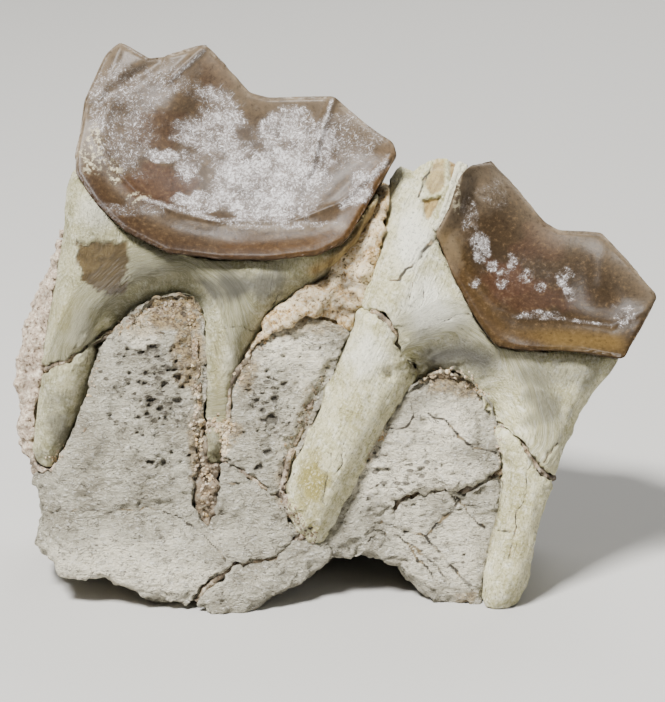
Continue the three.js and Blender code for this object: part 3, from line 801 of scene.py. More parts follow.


# %% [markdown]
# ## The crowns
#
# The outer wall of a crown carries sharp lines that the solids only hint at: the ribs below the cusps, the
# groove beside the first rib, and the ledge above the neck. They are raised or cut along their paths.
# Before that, the soft rounding along the wall's outline gives way to a tight one: a smooth wall is fitted
# to the middle and carried on to the edge. Behind, the crests are worn down along paths in plan.
#
# Then the colours are marked: bloom in the hollow, amber along the lower edge, a pale rim at the crest.
# White lines along the ribs and the ledge are painted highlights, drawn with the bloom's haze and strokes,
# and partly white bloom. Along the lower left edge the dark brown foot is deepened as painted shade.

# %% Crowns
CROWNS = {
    "front_molar_crown": {
        "enamel": front_enamel,
        "wear": [[(-17, -5), (-21, -25)], [(-2, -5), (-8, -25)], [(-28, -5.4), (5, -5.4)]],
        "crest": [(-31, 55), (-30, 61.5), (-27.5, 67.3), (-26, 68.6), (-22.5, 66.6), (-19.5, 67.2),
                  (-15.8, 68.3), (-13.5, 66), (-10.5, 62.5), (-8, 61.9), (-0.3, 62), (2.7, 59.3),
                  (6.7, 56.4), (7.1, 55)],
        "foot": [(7.1, 55), (4.1, 49.7), (1.2, 44.8), (-2, 43.2), (-8, 42.5), (-14, 42.6), (-20, 43.4),
                 (-25, 46), (-28.5, 49.4), (-30.8, 52.8), (-31, 55)],
        "forms": [
            ([(-15.9, 68), (-18.1, 66), (-20, 64.2)], 0.6, 0.45),
            ([(-21.1, 66.5), (-25.5, 63.8), (-29.2, 60.5)], -0.7, 0.8),
            ([(-26, 68.4), (-27.3, 64.7), (-28.9, 60.5)], 0.35, 0.6),
            ([(-0.2, 62), (-2.1, 56.9), (-3.1, 53)], 0.6, 0.5),
            ([(-28.9, 58.1), (-26.8, 53.9), (-23.5, 50.3), (-18.7, 48), (-13.9, 47), (-5.5, 47),
              (0.5, 49.1), (6.3, 54.5)], 0.28, 0.3),
        ],
        "amber": [([(-12, 43.5), (-4.3, 43.7), (1.1, 45.8), (5, 51.5), (6.8, 55)], 1.6, 0.95),
                  ([(-30, 53), (-25, 46.5), (-19.3, 44.2), (-12, 43.2)], 1.4, 0.35)],
        # dark brown foot, deepened as painted shade where the wall rounds under
        "base": [(-31, 52.5), (-28, 48.3), (-23.5, 45), (-19, 43.2), (-14.5, 42.3), (-9, 42.2)],
        "bloom": [((-8, 51.8, 7.5, 5.2), 1), ((-14.5, 58.3, 5, 4.8), 0.75), ((-6, 58.4, 4.6, 2.6), 0.75),
                  ((-2.5, 55.5, 4, 4), 0.75), ((-20.6, 55, 2.6, 1), 1), ((-17.7, 53.7, 2, 2.8), 0.7),
                  ((-16, 49.4, 3.4, 1.6), 0.8), ((3.2, 51.4, 2.4, 2.2), 0.8), ((-25.3, 60, 5, 8), 0.36),
                  ((-20, 64, 4, 3), 0.34), ((1.6, 57, 5, 4), 0.4), ((-28.6, 61.5, 1.4, 5), 0.5),
                  ((-24, 48.4, 4, 1), 0.3), ((-7, 46.6, 8, 0.6), 0.55)],
        # painted highlights: white lines along the ribs and the ledge, partly white bloom
        "highlight_and_bloom_lines": [([(0.8, 48.8), (6, 54)], 0.45, 1), ([(-15.8, 67.7), (-19.9, 63.9)], 0.25, 0.9),
                        ([(-0.4, 61.6), (-2.2, 56.4)], 0.25, 0.9),
                        ([(-23, 49.7), (-14, 47.2), (-6, 47.2)], 0.3, 0.8)],
        "pale": [((-6, 46.4, 9, 0.7), 0.3)],
        "ruddy": [((-20.5, 51.5, 5, 3), 0.6), ((-21, 58, 4, 2.4), 0.3), ((-14.5, 65, 2.2, 2.4), 0.3)],
        "lime": [((-29, 55.7, 1.6, 3.4), 1), ((-26.3, 52.9, 0.9, 1.6), 1), ((-23.8, 49.8, 1.6, 0.8), 0.9)],
    },
    "rear_molar_crown": {
        "enamel": rear_enamel,
        "wear": [[(18.5, -5), (17, -23)], [(31, -5), (26.5, -23)], [(14, -4.8), (36, -4.8)]],
        "crest": [(12, 45.6), (13.6, 48.6), (15.2, 53.5), (19, 54.5), (21.2, 52.1), (25.2, 46.9),
                  (27, 45.9), (31.8, 45.6), (34.4, 42.7), (38.2, 38)],
        "foot": [(38.2, 38), (36.4, 34.6), (33.9, 30.8), (29, 31.7), (22, 31.8), (19.1, 32.3), (17, 35.2),
                 (14, 40.8), (12, 45.6)],
        "forms": [
            ([(18.3, 50.9), (16.8, 47.5)], 0.12, 1),
            ([(32, 45.5), (31.7, 41.9), (31.5, 39.5)], 0.15, 1),
            ([(14.2, 44.6), (15.7, 41.3), (17.6, 38.6), (19.4, 36.6), (21.8, 35.6), (26.9, 35.4),
              (32.9, 34.6), (36.5, 36.2)], 0.16, 0.4),
        ],
        "amber": [([(20, 33), (26, 33), (33, 32.6)], 1.3, 0.85),
                  ([(13, 45), (15, 40), (18.5, 34.5)], 1.4, 0.8)],
        # dark brown foot, deepened as painted shade where the wall rounds under
        "base": [(14.2, 41.2), (17.4, 36), (19.7, 33), (23.2, 32)],
        "bloom": [((17.4, 44, 1.3, 2), 0.8), ((18.9, 41.8, 1, 1), 0.75), ((21.2, 42.2, 0.8, 1.2), 0.65),
                  ((22.8, 40.5, 1, 1), 0.65), ((24.6, 39.2, 0.9, 0.9), 0.6), ((27.4, 40.3, 1, 1.2), 0.65),
                  ((28, 38.4, 0.8, 1.2), 0.65), ((20, 40.2, 1, 1.4), 0.5), ((16.6, 39.8, 0.9, 0.8), 0.5),
                  ((34.4, 35.6, 2, 1.4), 0.6), ((24, 35.8, 3, 0.7), 0.5), ((22, 41, 6, 3.4), 0.08),
                  ((16, 47.5, 1.2, 3), 0.3), ((19, 50, 2.4, 2.6), 0.2)],
        # painted highlight along the ledge, drawn with the bloom
        "highlight_and_bloom_lines": [([(21.8, 35.6), (26.9, 35.4), (32.9, 34.6)], 0.2, 0.7)],
        "ruddy": [((20.2, 39.8, 3.6, 3), 0.7), ((24.5, 38, 5, 2.4), 0.5), ((24.5, 44.8, 3.6, 3), 0.4)],
        "pale": [((18.6, 51.2, 3, 3), 0.2), ((14.2, 43, 1.2, 3), 0.25)],
        "lime": [((14.4, 50.5, 0.5, 3), 0.9)],
    },
}
CROWN_VOXEL_MM = 0.25
CROWN_SMOOTHING = 12
EDGE_BAND_MM = (0.9, 3.2)
WORN_ROUND_MM = 0.45
BEHIND_MM = -4.4
BEHIND_SMOOTHING = 80
WALL_SMOOTHING = 40
WEAR_DEPTH_MM = 0.4
WEAR_REACH_MM = (1.2, 1.6)
PALE_EDGE_MM = 0.35
RIM_MM = 2.4
FOOT_SHADE_MM = 1.8
WALL_DEGREE = 4
WALL_REACH_MM = 20


def wall_height(points, known):
    """The height of a smooth wall at each point, fitted to the known points of it."""
    powers = [(i, j) for i, j in product(range(WALL_DEGREE + 1), repeat=2) if i + j <= WALL_DEGREE]
    middle = known.mean(axis=0)

    def terms(places):
        u, v = ((places - middle) / WALL_REACH_MM)[:, :2].T
        return np.stack([u**i * v**j for i, j in powers], axis=1)

    return terms(points) @ np.linalg.lstsq(terms(known), known[:, 2], rcond=None)[0]


def sharpened(points, normals, outline):
    """The points with the soft, uneven rounding along the solid's outline replaced by a tight, even one."""
    distance = away_from(points, outline)
    front = steps(-0.1, 0.3, normals[:, 2]) * cheek_layer(points)
    wall = wall_height(points, points[(distance > EDGE_BAND_MM[1]) & (front > 0.9)])
    left = 1 - np.clip(distance / WORN_ROUND_MM, 0, 1)
    worn = wall - WORN_ROUND_MM * (1 - np.sqrt(1 - left**2))
    near = 1 - steps(*EDGE_BAND_MM, distance)
    moved = points.copy()
    moved[:, 2] += near * front * (worn - points[:, 2])
    moved[:, 2] = np.where(near > 0.5, np.minimum(moved[:, 2], worn), moved[:, 2])
    return moved


def worn_down(points, normals, wear):
    """1 where chewing has worn through the enamel behind the crest, along paths of (u, w) points."""
    from_wear = np.min([away_from(points[:, [0, 2]], path) for path in wear], axis=0)
    upwards = steps(0.15, 0.4, normals[:, 1]) * steps(-2.6, -3.6, points[:, 2])
    return upwards * (1 - steps(*WEAR_REACH_MM, from_wear + 0.4 * lumps(points, 2.2, 9)))


def make_crown(node, form):
    piece = fine_copy([(node, IN_PLACE)], node + "_enamel", CROWN_VOXEL_MM, CROWN_SMOOTHING)
    smoothed(piece, BEHIND_SMOOTHING, points_of(piece)[:, 2] > BEHIND_MM, 0)
    points, normals = points_of(piece), normals_of(piece)
    cheek = facing(normals) * cheek_layer(points)
    worn = worn_down(points, normals, form["wear"])
    push = SWELL_MM + weathering(points, normals, *CROWN_WEATHER) - WEAR_DEPTH_MM * worn
    points += normals * push[:, None]
    crest, outline = form["crest"], form["crest"] + form["foot"][1:]
    move_points(piece, sharpened(points, normals, outline))
    smoothed(piece, WALL_SMOOTHING, (away_from(points, outline) < WORN_ROUND_MM) | (cheek < 0.5), 0)
    points = modelled(points_of(piece), normals, form["forms"])
    move_points(piece, points)
    mark_lie(piece, *points.T)
    worn_edge = line(points, crest, PALE_EDGE_MM) * steps(-0.5, 0.6, lumps(points, 1.4, 6))
    rim = 0.3 * line(points, crest, RIM_MM) + 0.4 * worn_edge + cheek * patches(points, form["pale"])
    # the bloom, with painted highlights along the ribs and ledges
    bloom = np.maximum(patches(points, form["bloom"]), np.max(lines(points, form["highlight_and_bloom_lines"]), axis=0))
    bloom_behind = 0.3 * steps(0, 0.7, lumps(points, 4, 7))
    mark(piece, rim=rim, amber=sum(lines(points, form["amber"])))
    mark(piece, bloom=cheek * bloom + (1 - cheek) * bloom_behind)
    # painted shade along the lower left edge, over the enamel's own dark brown
    mark(piece, base=0.7 * line(points, form["base"], FOOT_SHADE_MM))
    mark(piece, ruddy=cheek * patches(points, form["ruddy"]), lime=cheek * patches(points, form["lime"]))
    mark(piece, worn=worn)
    settle(piece, [node], form["enamel"])


for node, form in CROWNS.items():
    make_crown(node, form)

# %% [markdown]
# ## Necks and roots
#
# All roots share one set of forms and stains, given by their places on the cheek side. Their flanks are
# smoothed more than the front, which keeps its relief. The streaks run along each root, so each piece names
# the turn of its own length from upright. In the two necks the streaks sweep around the arch between the
# roots: there the grain is measured by the distance from that arch.
#
# Stains are soft ovals and lines. So is a dark grey-green that is painted shade: in the hollows under the
# arches, on the shaded flanks of the roots and beside the stub. One olive patch, where a flake of cement
# came off, has nearly straight sides, and so do the thin plates of broken dentine beside the rear crown.
# Those are measured inside a convex outline.
#
# The rear neck and the broken dentine beside it are parted in the solids, but on the real tooth their crack
# is mostly closed. So they are made one skin: a second copy of the dentine is shifted across the crack, and
# remeshing joins what overlaps. The open part of the crack is carved again as a hairline.

# %% Necks and roots
ROOT_TURNS = {
    "front_molar_mesial_root": -12,
    "front_molar_distal_root": 0,
    "front_molar_lingual_root": 0,
    "rear_molar_mesial_root": -26,
    "rear_molar_distal_root": -16,
    "rear_molar_lingual_root": -5,
}
CLOSING_SHIFT_MM = (0.4, -0.31, 0)
NECK_ARCHES = [
    ([("front_molar_neck", IN_PLACE)],
     [(-27.5, 30), (-25.5, 34.5), (-22.5, 37.4), (-19, 38.2), (-16.8, 36.5), (-15.3, 30)], -8),
    ([("rear_molar_neck", IN_PLACE), ("rear_molar_mesial_dentine", IN_PLACE),
      ("rear_molar_mesial_dentine", CLOSING_SHIFT_MM)],
     [(8.5, 26), (10.5, 29.5), (14, 31), (17, 29.5), (19.5, 25.5), (20.5, 22)], -24),
]
ROOT_FORMS = [
    ([(-29.2, 48), (-30, 40), (-31.2, 32), (-33, 21)], 0.9, 2.4),
    ([(-27, 33.2), (-25.5, 35.2), (-22.5, 38), (-19, 38.8), (-16.4, 37.2)], -2.6, 2.8),
    ([(-27.6, 32.2), (-29.2, 26), (-31, 19.5)], -2.2, 1.2),
    ([(-9.5, 42.5), (-11.2, 36), (-12.2, 28), (-12.3, 20)], 0.5, 1.5),
    ([(2, 46.5), (-2.5, 41), (-6.5, 36), (-9.5, 31)], -1.2, 2.2),
    ([(11, 46), (7.5, 38.5), (3, 28.5), (-1.5, 14)], 0.6, 2.4),
    ([(10, 29.2), (12, 31.3), (15, 31.8), (18, 29.5), (20, 25.5)], -2.6, 2.8),
    ([(29, 28), (25.3, 17), (22.8, 5)], 0.6, 2.2),
    ([(-30, 53), (-25, 45.8), (-18, 42.8), (-10, 42.1), (-2, 42.6), (3, 47)], -0.6, 1),
    ([(13, 44.5), (18.5, 34.3), (27, 32.3), (34, 31.5)], -0.7, 1),
    ([(0.2, 42.8), (1.4, 43.9), (2.8, 45.8), (4.1, 47.9), (5, 49.8)], 0.9, 0.8),
    ([(6.3, 29), (6.4, 28.6)], -1.1, 0.5),
    ([(-14.7, 22), (-14.4, 18.5)], 0.3, 1.5),
]
OLIVE = [(-30.8, 44.6), (-24.8, 44.3), (-24.5, 40.1), (-25.6, 38.4), (-28.9, 38.6), (-30.8, 42.2)]
THIN_EDGE = [(-2.5, 41.2), (0.3, 42.6), (2.2, 44.6), (4.8, 48.8)]
CHALK = [((-29, 47.9, 3, 3), 0.8), ((9, 45, 3.4, 6), 1), ((3.5, 31, 3.4, 4), 0.8), ((11, 36.4, 5, 5), 1),
         ((-30.5, 34, 2, 4), 0.4), ((-12.6, 30, 1.6, 4), 0.4)]
# Painted shade, not stains: dark grey-green ovals and lines in the hollows under the arches, on the shaded
# flanks of the roots and beside the stub
PAINTED_SHADE_SPOTS = [((-20.5, 40.2, 6.5, 2.6), 0.45), ((-11, 39.2, 8, 2.6), 0.85), ((16, 30.8, 8, 3.4), 0.4),
        ((26.5, 29, 8, 3), 0.6), ((-33, 22.5, 2.4, 5), 0.6), ((-25.5, 37, 3, 3), 0.45),
        ((25, 25, 3, 4), 0.65), ((-14.6, 20.3, 2, 2.8), 0.35)]
PAINTED_SHADE_LINES = [([(12, 30.8), (15.2, 31.4), (17.8, 30.4)], 2.6, 0.95),
              ([(-25.5, 36), (-22.5, 39), (-18.8, 40), (-15.6, 38)], 1.6, 0.4)]
YELLOW = [((-2.6, 15.5, 2.6, 6), 0.95), ((-31.5, 35, 3, 4), 0.4), ((-13.5, 28, 2, 7), 0.4),
          ((8, 36, 3, 3), 0.3), ((22, 10, 2, 7), 0.3), ((2, 26, 2.4, 6), 0.3)]
STAIN_FADE = 0.9
LAMELLAE = [
    ([(13.6, 55), (15.5, 54.6), (13.6, 51)], 0.5, 1),
    ([(11.9, 55), (13.3, 55), (13.3, 51.6), (12.8, 50.7), (11.5, 50.1), (10.5, 51.2)], 0.3, 0.75),
    ([(10.3, 49.7), (12.9, 50.2), (12.2, 48.8), (11.2, 46.8), (10.6, 47.4)], 0.7, 0.9),
]
ROOT_VOXEL_MM = 0.22
ROOT_SMOOTHING = 18
FLANK_SMOOTHING = 70
FLANK_NORMAL = 0.2
STREAK_LAYERS = [(0.06, (0.8, 7, 1), 8), (0.06, (0.5, 0.8, 0.6), 9)]
OLIVE_EDGE_LAYERS = [(0.6, 1.3, 5), (0.3, 0.5, 7)]
OLIVE_FRAYED_MM = (43, 39.5)
ARCH_TURN_MM = 9
ARCH_REACH_MM = (2.5, 7)


def straight_grain(points, turn_deg):
    """Places across and along a straight root."""
    cosine, sine = math.cos(math.radians(turn_deg)), math.sin(math.radians(turn_deg))
    u, v, w = points.T
    return cosine * u + sine * v, cosine * v - sine * u, w


def arch_grain(points, arch, turn_deg):
    """Places across and along streaks that sweep around an arch, and run straight further up."""
    u, v = (points[:, :2] - np.mean(arch, axis=0)).T
    distance = away_from(points, arch)
    around = np.stack((distance, ARCH_TURN_MM * np.arctan2(u, v), points[:, 2]))
    upright = np.stack(straight_grain(points, turn_deg))
    straight = steps(*ARCH_REACH_MM, distance)
    return around + straight * (upright - around)


def inside(points, corners):
    """How far inside a convex outline of (u, v) corners each point lies, less than 0 outside it."""
    middle, depth = np.mean(corners, axis=0), np.full(len(points), np.inf)
    for start, end in zip(corners, corners[1:] + corners[:1]):
        across = np.array((end[1] - start[1], start[0] - end[0])) / math.dist(start, end)
        inwards = across * np.sign((middle - start) @ across)
        depth = np.minimum(depth, (points[:, :2] - start) @ inwards)
    return depth


def split_lamellae(points):
    """The points with the broken dentine beside the rear crown set back in plates, and its amber tint."""
    moved, amber = points.copy(), np.zeros(len(points))
    for seed, (corners, drop, tinge) in enumerate(LAMELLAE):
        depth = inside(points, corners) + 0.12 * lumps(points, 0.7, seed)
        moved[:, 2] -= drop * steps(0, 0.2, depth) * cheek_layer(points)
        amber = np.maximum(amber, tinge * steps(0.05, 0.35, depth) * cheek_layer(points))
    return moved, amber


def make_root(copies, grain_of, *lie):
    nodes = list(dict(copies))
    piece = fine_copy(copies, nodes[0] + "_cement", ROOT_VOXEL_MM, ROOT_SMOOTHING)
    crisp = from_parting(points_of(piece)) < CRISP_MM
    smoothed(piece, FLANK_SMOOTHING, (normals_of(piece)[:, 2] > FLANK_NORMAL) | crisp, 0)
    points, normals = points_of(piece), normals_of(piece)
    gaps = hairline_gaps(points, normals, ROOT_HAIRLINES)
    across = np.stack(grain_of(points, *lie), axis=1)
    push = swelling(points) + weathering(points, normals, *ROOT_WEATHER)
    push += relief(across, STREAK_LAYERS) - carved_hairlines(gaps)
    points = jagged(modelled(points + normals * push[:, None], normals, ROOT_FORMS))
    points, amber = split_lamellae(points)
    move_points(piece, points)
    mark_lie(piece, *across.T)
    near = cheek_layer(points)
    frayed = 0.5 * lumps(across, (0.4, 3, 1), 6) * steps(*OLIVE_FRAYED_MM, points[:, 1])
    olive = steps(-0.1, 0.3, inside(points, OLIVE) + relief(points, OLIVE_EDGE_LAYERS) + frayed)
    flank = (1 - facing(normals)) * steps(0.1, 0.5, lumps(points, 4.5, 7) + 0.4 * lumps(points, 1.3, 8))
    # painted shade in the hollows and on the shaded flanks
    grey = np.maximum(patches(points, PAINTED_SHADE_SPOTS, fade=STAIN_FADE), sum(lines(points, PAINTED_SHADE_LINES)))
    mark(piece, olive=near * olive + 0.6 * flank, chalk=near * patches(points, CHALK, fade=STAIN_FADE))
    mark(piece, grey=near * grey, yellow=near * patches(points, YELLOW, fade=STAIN_FADE))
    mark(piece, amber=amber + 0.9 * near * line(points, THIN_EDGE, 0.9), crack=gaps)
    settle(piece, nodes, front_cement if nodes[0].startswith("front") else rear_cement)


for node, turn in ROOT_TURNS.items():
    make_root([(node, IN_PLACE)], straight_grain, turn)
for copies, arch, turn in NECK_ARCHES:
    make_root(copies, arch_grain, arch, turn)

# %% [markdown]
# ## Bone plates
#
# The plates share one set of forms, hairlines, stains and pores. Dry bone is wrinkled by creases that wind
# between its lumps. A pore is a small slit that runs along the jaw. Pores stand in fields, so each field
# scatters its own number of them, from a fixed seed, and every pore pushes in the points that lie within
# its oval. The lower edge is broken, so it is chipped in small steps.

# %% Bone plates
BONES = ["front_plate", "lower_fragment", "middle_plate", "rear_plate_upper", "rear_plate_lower",
         "palate_front", "palate_rear"]
BONE_FORMS = [
    ([(-25, 34), (-27.3, 27), (-29, 19.5)], 0.7, 1),
    ([(-22, 30), (-23, 22)], 0.6, 4),
    ([(-16.6, 34), (-15.6, 26), (-15.5, 17)], -0.7, 1),
    ([(-8.5, 27), (-7.5, 22)], 0.5, 3),
    ([(-0.6, 29.5), (-2.2, 26), (-5.2, 19), (-6.2, 14.5)], -1, 0.8),
    ([(9.6, 27.5), (6.2, 22), (2, 13.7), (-0.5, 9.5)], -0.5, 0.8),
    ([(11, 29), (15, 29), (19, 24.5)], -2, 2.4),
    ([(-22, 36.5), (-18.5, 37.5)], -1.6, 2.4),
    ([(8, 14.8), (12.8, 16), (15.5, 15.6), (20, 17.6)], 0.6, 1),
    ([(8.4, 12.5), (12.8, 13.8), (15.5, 13.4), (20, 15.6)], -0.5, 1),
    ([(-34, 11.8), (-20, 11.8), (-12, 10)], -0.9, 2.6),
    ([(-17.2, 16), (-17.1, 12.5), (-15.6, 9.9), (-13.9, 12.5), (-13.7, 15.5)], 0.4, 0.45),
]
LOWER_EDGE = [(-37, 9), (-33, 5.4), (-28, 2.6), (-21, 1.2), (-17, 0), (-12, -1), (-5, 3.5), (0, 5.8),
              (5, 6.5), (10, 2.5), (16, -0.4)]
CHIPS = [(0.5, 2.3), (0.3, 0.9)]
EDGE_LIFTS = [((-27.3, 1.4, 6, 4.4), 1.5), ((-10, -1, 2, 2.4), 0.4)]
LARGE_PORES = [
    (-21.9, 31.9, 0.69), (-20.5, 27.6, 0.50), (-18.8, 28.4, 0.56), (-18.3, 27.2, 0.50), (-22.1, 25.7, 0.56),
    (-18.8, 25.6, 0.62), (-19.5, 24.5, 0.44), (-22.4, 24, 0.56), (-20.9, 24.6, 0.50), (-23.6, 23.6, 0.44),
    (-25.1, 22.9, 0.38), (-22.6, 29, 0.50), (-24.7, 28.8, 0.44), (-22.9, 27.7, 0.50), (-23.3, 31.4, 0.50),
    (-23, 21.5, 0.38), (-22.1, 18.2, 0.44), (-20.7, 18.2, 0.44), (-7.7, 23.4, 0.88), (-7.3, 25.6, 0.56),
    (-9.4, 25.6, 0.50), (-6.1, 27.6, 0.50), (-8.2, 19.4, 0.62), (-8.7, 24.4, 0.44), (-10.6, 26.9, 0.44),
    (-9.2, 17.6, 0.56), (-13.1, 18.5, 0.38),
]
PORE_FIELDS = [
    ((-22.5, 27), (5.5, 6), 150, (0.14, 0.34)),
    ((-21, 16), (7, 4), 14, (0.14, 0.26)),
    ((-8, 24), (3.4, 5), 90, (0.14, 0.34)),
    ((7.5, 17), (5.5, 5), 70, (0.12, 0.28)),
    ((-4.5, 31), (5, 3.4), 60, (0.12, 0.24)),
    ((12, 8), (4, 3.4), 12, (0.12, 0.26)),
    ((-24, 7), (10, 4.5), 20, (0.12, 0.2)),
]
PORE_CLEARANCE_MM = 0.65
PORE_DEPTH_MM = 0.65
PORE_LIP_MM = 0.08
PORE_FAR_MM = 0.5
CREASE_MM = 0.28
CREASE_SIZES = [((3.2, 1.7, 2), 30), ((1.5, 0.9, 1), 31)]
BONE_LAYERS = [(0.22, (2, 1, 1), 9), (0.15, (0.8, 0.55, 0.6), 10)]
POROUS = [((-22.5, 27, 7, 7), 1), ((-8, 24.5, 4.5, 6), 0.9), ((-4.5, 32, 5.5, 4), 0.3),
          ((7, 17, 6, 5), 0.9), ((-21, 17, 8, 5), 0.5), ((-26, 8, 9, 5), 0.3), ((12, 8, 5, 4), 0.6)]
# Mostly painted light on plates in shade and near the lower edge, partly the cream tone near the teeth
CREAM_AND_PAINTED_LIGHT = [((-4.5, 31.5, 6, 4.5), 1), ((-24, 5.5, 15, 5), 0.7), ((14, 23, 5, 4), 1), ((8, 17, 9, 8), 0.8),
         ((-23, 33.5, 3, 2), 0.8), ((13, 8, 6, 6), 0.6), ((-5, 20, 3, 8), 0.3)]
RUST = [((-19, 36.2, 4.2, 2.6), 1), ((-17.6, 31, 2, 4.5), 0.9), ((14, 28, 4.5, 2.2), 0.75),
        ((-16.8, 21, 1.1, 6), 0.7), ((-11, 29.5, 1.8, 3), 0.7), ((15.5, 1.9, 1.6, 1), 0.6),
        ((-13.5, 21.5, 3, 2), 0.7), ((-3.4, 23, 1.2, 4), 0.4), ((-6.4, 15.5, 1, 3), 0.5),
        ((-4, 34.6, 6, 1.4), 0.6), ((-23, 34.5, 3, 1.6), 0.6)]
BONE_SMOOTHING = 9
BONE_VOXEL_MM = 0.22
PALATE_VOXEL_MM = 0.32
PALATE_SWELL_MM = 0.32


def scattered_pores():
    """Rows of place and half-sizes: the large pores, and small ones scattered clear of each other."""
    draw = np.random.default_rng(7)
    rows = [(u, v, size, size * draw.uniform(0.5, 0.8)) for u, v, size in LARGE_PORES]
    for (u, v), (reach_u, reach_v), count, (small, large) in PORE_FIELDS:
        for _ in range(count):
            radius, angle = math.sqrt(draw.random()), draw.random() * 2 * math.pi
            place = (u + reach_u * radius * math.cos(angle), v + reach_v * radius * math.sin(angle))
            size = draw.uniform(small, large)
            if all(math.dist(place, row[:2]) > PORE_CLEARANCE_MM for row in rows):
                rows.append((*place, size, size * draw.uniform(0.4, 0.8)))
    return np.array(rows)


def pore_edges(points, normals, pores):
    """The distance from the edge of the nearest pore, less than 0 inside it, up to 0.5 mm."""
    wobble = points.copy()
    wobble[:, :2] += 0.22 * np.stack((lumps(points, 0.5, 16), lumps(points, 0.5, 17)), axis=1)
    edges = np.full(len(points), PORE_FAR_MM)
    seen = np.flatnonzero((facing(normals) > 0) & (points[:, 2] > -6))
    place = wobble[seen, :2]
    for u, v, half_u, half_v in pores:
        if len(place) and np.all(place.min(axis=0) < (u, v)) and np.all(place.max(axis=0) > (u, v)):
            reach = np.hypot((place[:, 0] - u) / half_u, (place[:, 1] - v) / half_v)
            edges[seen] = np.minimum(edges[seen], (reach - 1) * half_v)
    return edges


def chipped(points):
    """The points with the lower edge of the bone chipped, and lifted where more of it is broken off."""
    moved = shaken(points, points, CHIPS, 41, 1 - steps(0.4, 3, away_from(points, LOWER_EDGE)))
    for spot, lift in EDGE_LIFTS:
        moved[:, 1] += lift * patch(points, spot, ragged=0, fade=1)
    return moved


pores = scattered_pores()
print("pores:", len(pores))


def make_bone_piece(part):
    node, behind = "bone_" + part, part.startswith("palate")
    voxel_mm = PALATE_VOXEL_MM if behind else BONE_VOXEL_MM
    piece = fine_copy([(node, IN_PLACE)], node + "_surface", voxel_mm, BONE_SMOOTHING)
    points, normals = points_of(piece), normals_of(piece)
    gaps = hairline_gaps(points, normals, BONE_HAIRLINES)
    edges = pore_edges(points, normals, pores)
    rust = patches(points, RUST) * cheek_layer(points)
    porous = patches(points, POROUS, fade=0.8)
    pitted = steps(0.42, 0.8, lumps(points, (1.1, 0.5, 0.8), 8) + 0.2 * porous)
    creases = np.mean([furrows(points, size, seed) for size, seed in CREASE_SIZES], axis=0)
    push = swelling(points, PALATE_SWELL_MM if behind else SWELL_MM)
    push += weathering(points, normals, *BONE_WEATHER)
    push += relief(points, BONE_LAYERS) + 0.35 * rust * lumps(points, 0.7, 10)
    push -= CREASE_MM * creases + 0.25 * pitted + carved_hairlines(gaps)
    push += PORE_LIP_MM * steps(0.3, 0.1, edges) - PORE_DEPTH_MM * steps(0.12, -0.15, edges)
    points = chipped(jagged(modelled(points + normals * push[:, None], normals, BONE_FORMS)))
    move_points(piece, points)
    mark_lie(piece, *points.T)
    # cream is mostly painted light, partly the bone's cream tone
    mark(piece, cream=patches(points, CREAM_AND_PAINTED_LIGHT, fade=0.8), rust=rust, pore=PORE_FAR_MM - edges)
    mark(piece, porous=porous, pitted=pitted, crack=gaps)
    settle(piece, [node], fossil_bone)


for part in BONES:
    make_bone_piece(part)

# %% [markdown]
# ## Silt in the gaps
#
# The silt pieces are lumpy and granular all over, so they get three sizes of lumps down to the grain. The
# piece between the molars has a second copy, shifted towards the front molar, which fills the groove beside
# its neck.

# %% Silt pieces
SILTS = {
    "mesial": (1, 0, IN_PLACE),
    "between_molars": (0, 0, (-0.2, 0.1, -0.2)),
    "root_socket": (0.6, 0.6, IN_PLACE),
}
SILT_VOXEL_MM = 0.22
SILT_SMOOTHING = 10
SILT_LAYERS = [(0.5, 2.6, 1), (0.5, 1.1, 2), (0.28, 0.5, 3)]
SHADED = [((-1, 37.6, 4.5, 3.4), 0.3)]
SILT_FORMS = [
    ([(-7, 33), (-4, 36), (-1.5, 38.5)], 1.4, 2.4),
    ([(2.8, 40.6), (5.2, 45), (7.2, 50)], 1.1, 1.6),
]


def make_silt_piece(part, pinkness, dark, shift):
    node = "matrix_" + part
    piece = fine_copy([(node, IN_PLACE), (node, shift)], node + "_silt", SILT_VOXEL_MM, SILT_SMOOTHING)
    points, normals = points_of(piece), normals_of(piece)
    push = SWELL_MM + relief(points, SILT_LAYERS)
    points = modelled(points + normals * push[:, None], normals, SILT_FORMS)
    move_points(piece, points)
    mark_lie(piece, *points.T)
    # painted shade in the hollows between the lumps
    shaded_hollows = 0.4 * steps(0.25, 0.7, -lumps(points, 1.1, 2))
    mark(piece, pink=pinkness, crack=dark + patches(points, SHADED) + shaded_hollows)
    settle(piece, [node], hardened_silt)


for part, look in SILTS.items():
    make_silt_piece(part, *look)

# %% [markdown]
# ## Silt in the cracks
#
# Silt also sits in the open cracks, a little below the surface. To lay it there, the height of the dressed
# surface is measured by a ray that comes in from the viewer, on both sides of the crack. A curve with a
# round bevel runs along the crack below the lower of the two, and its mesh is remeshed and roughened. The
# silt that beds the roots is laid in the same way, nearer to the surface.

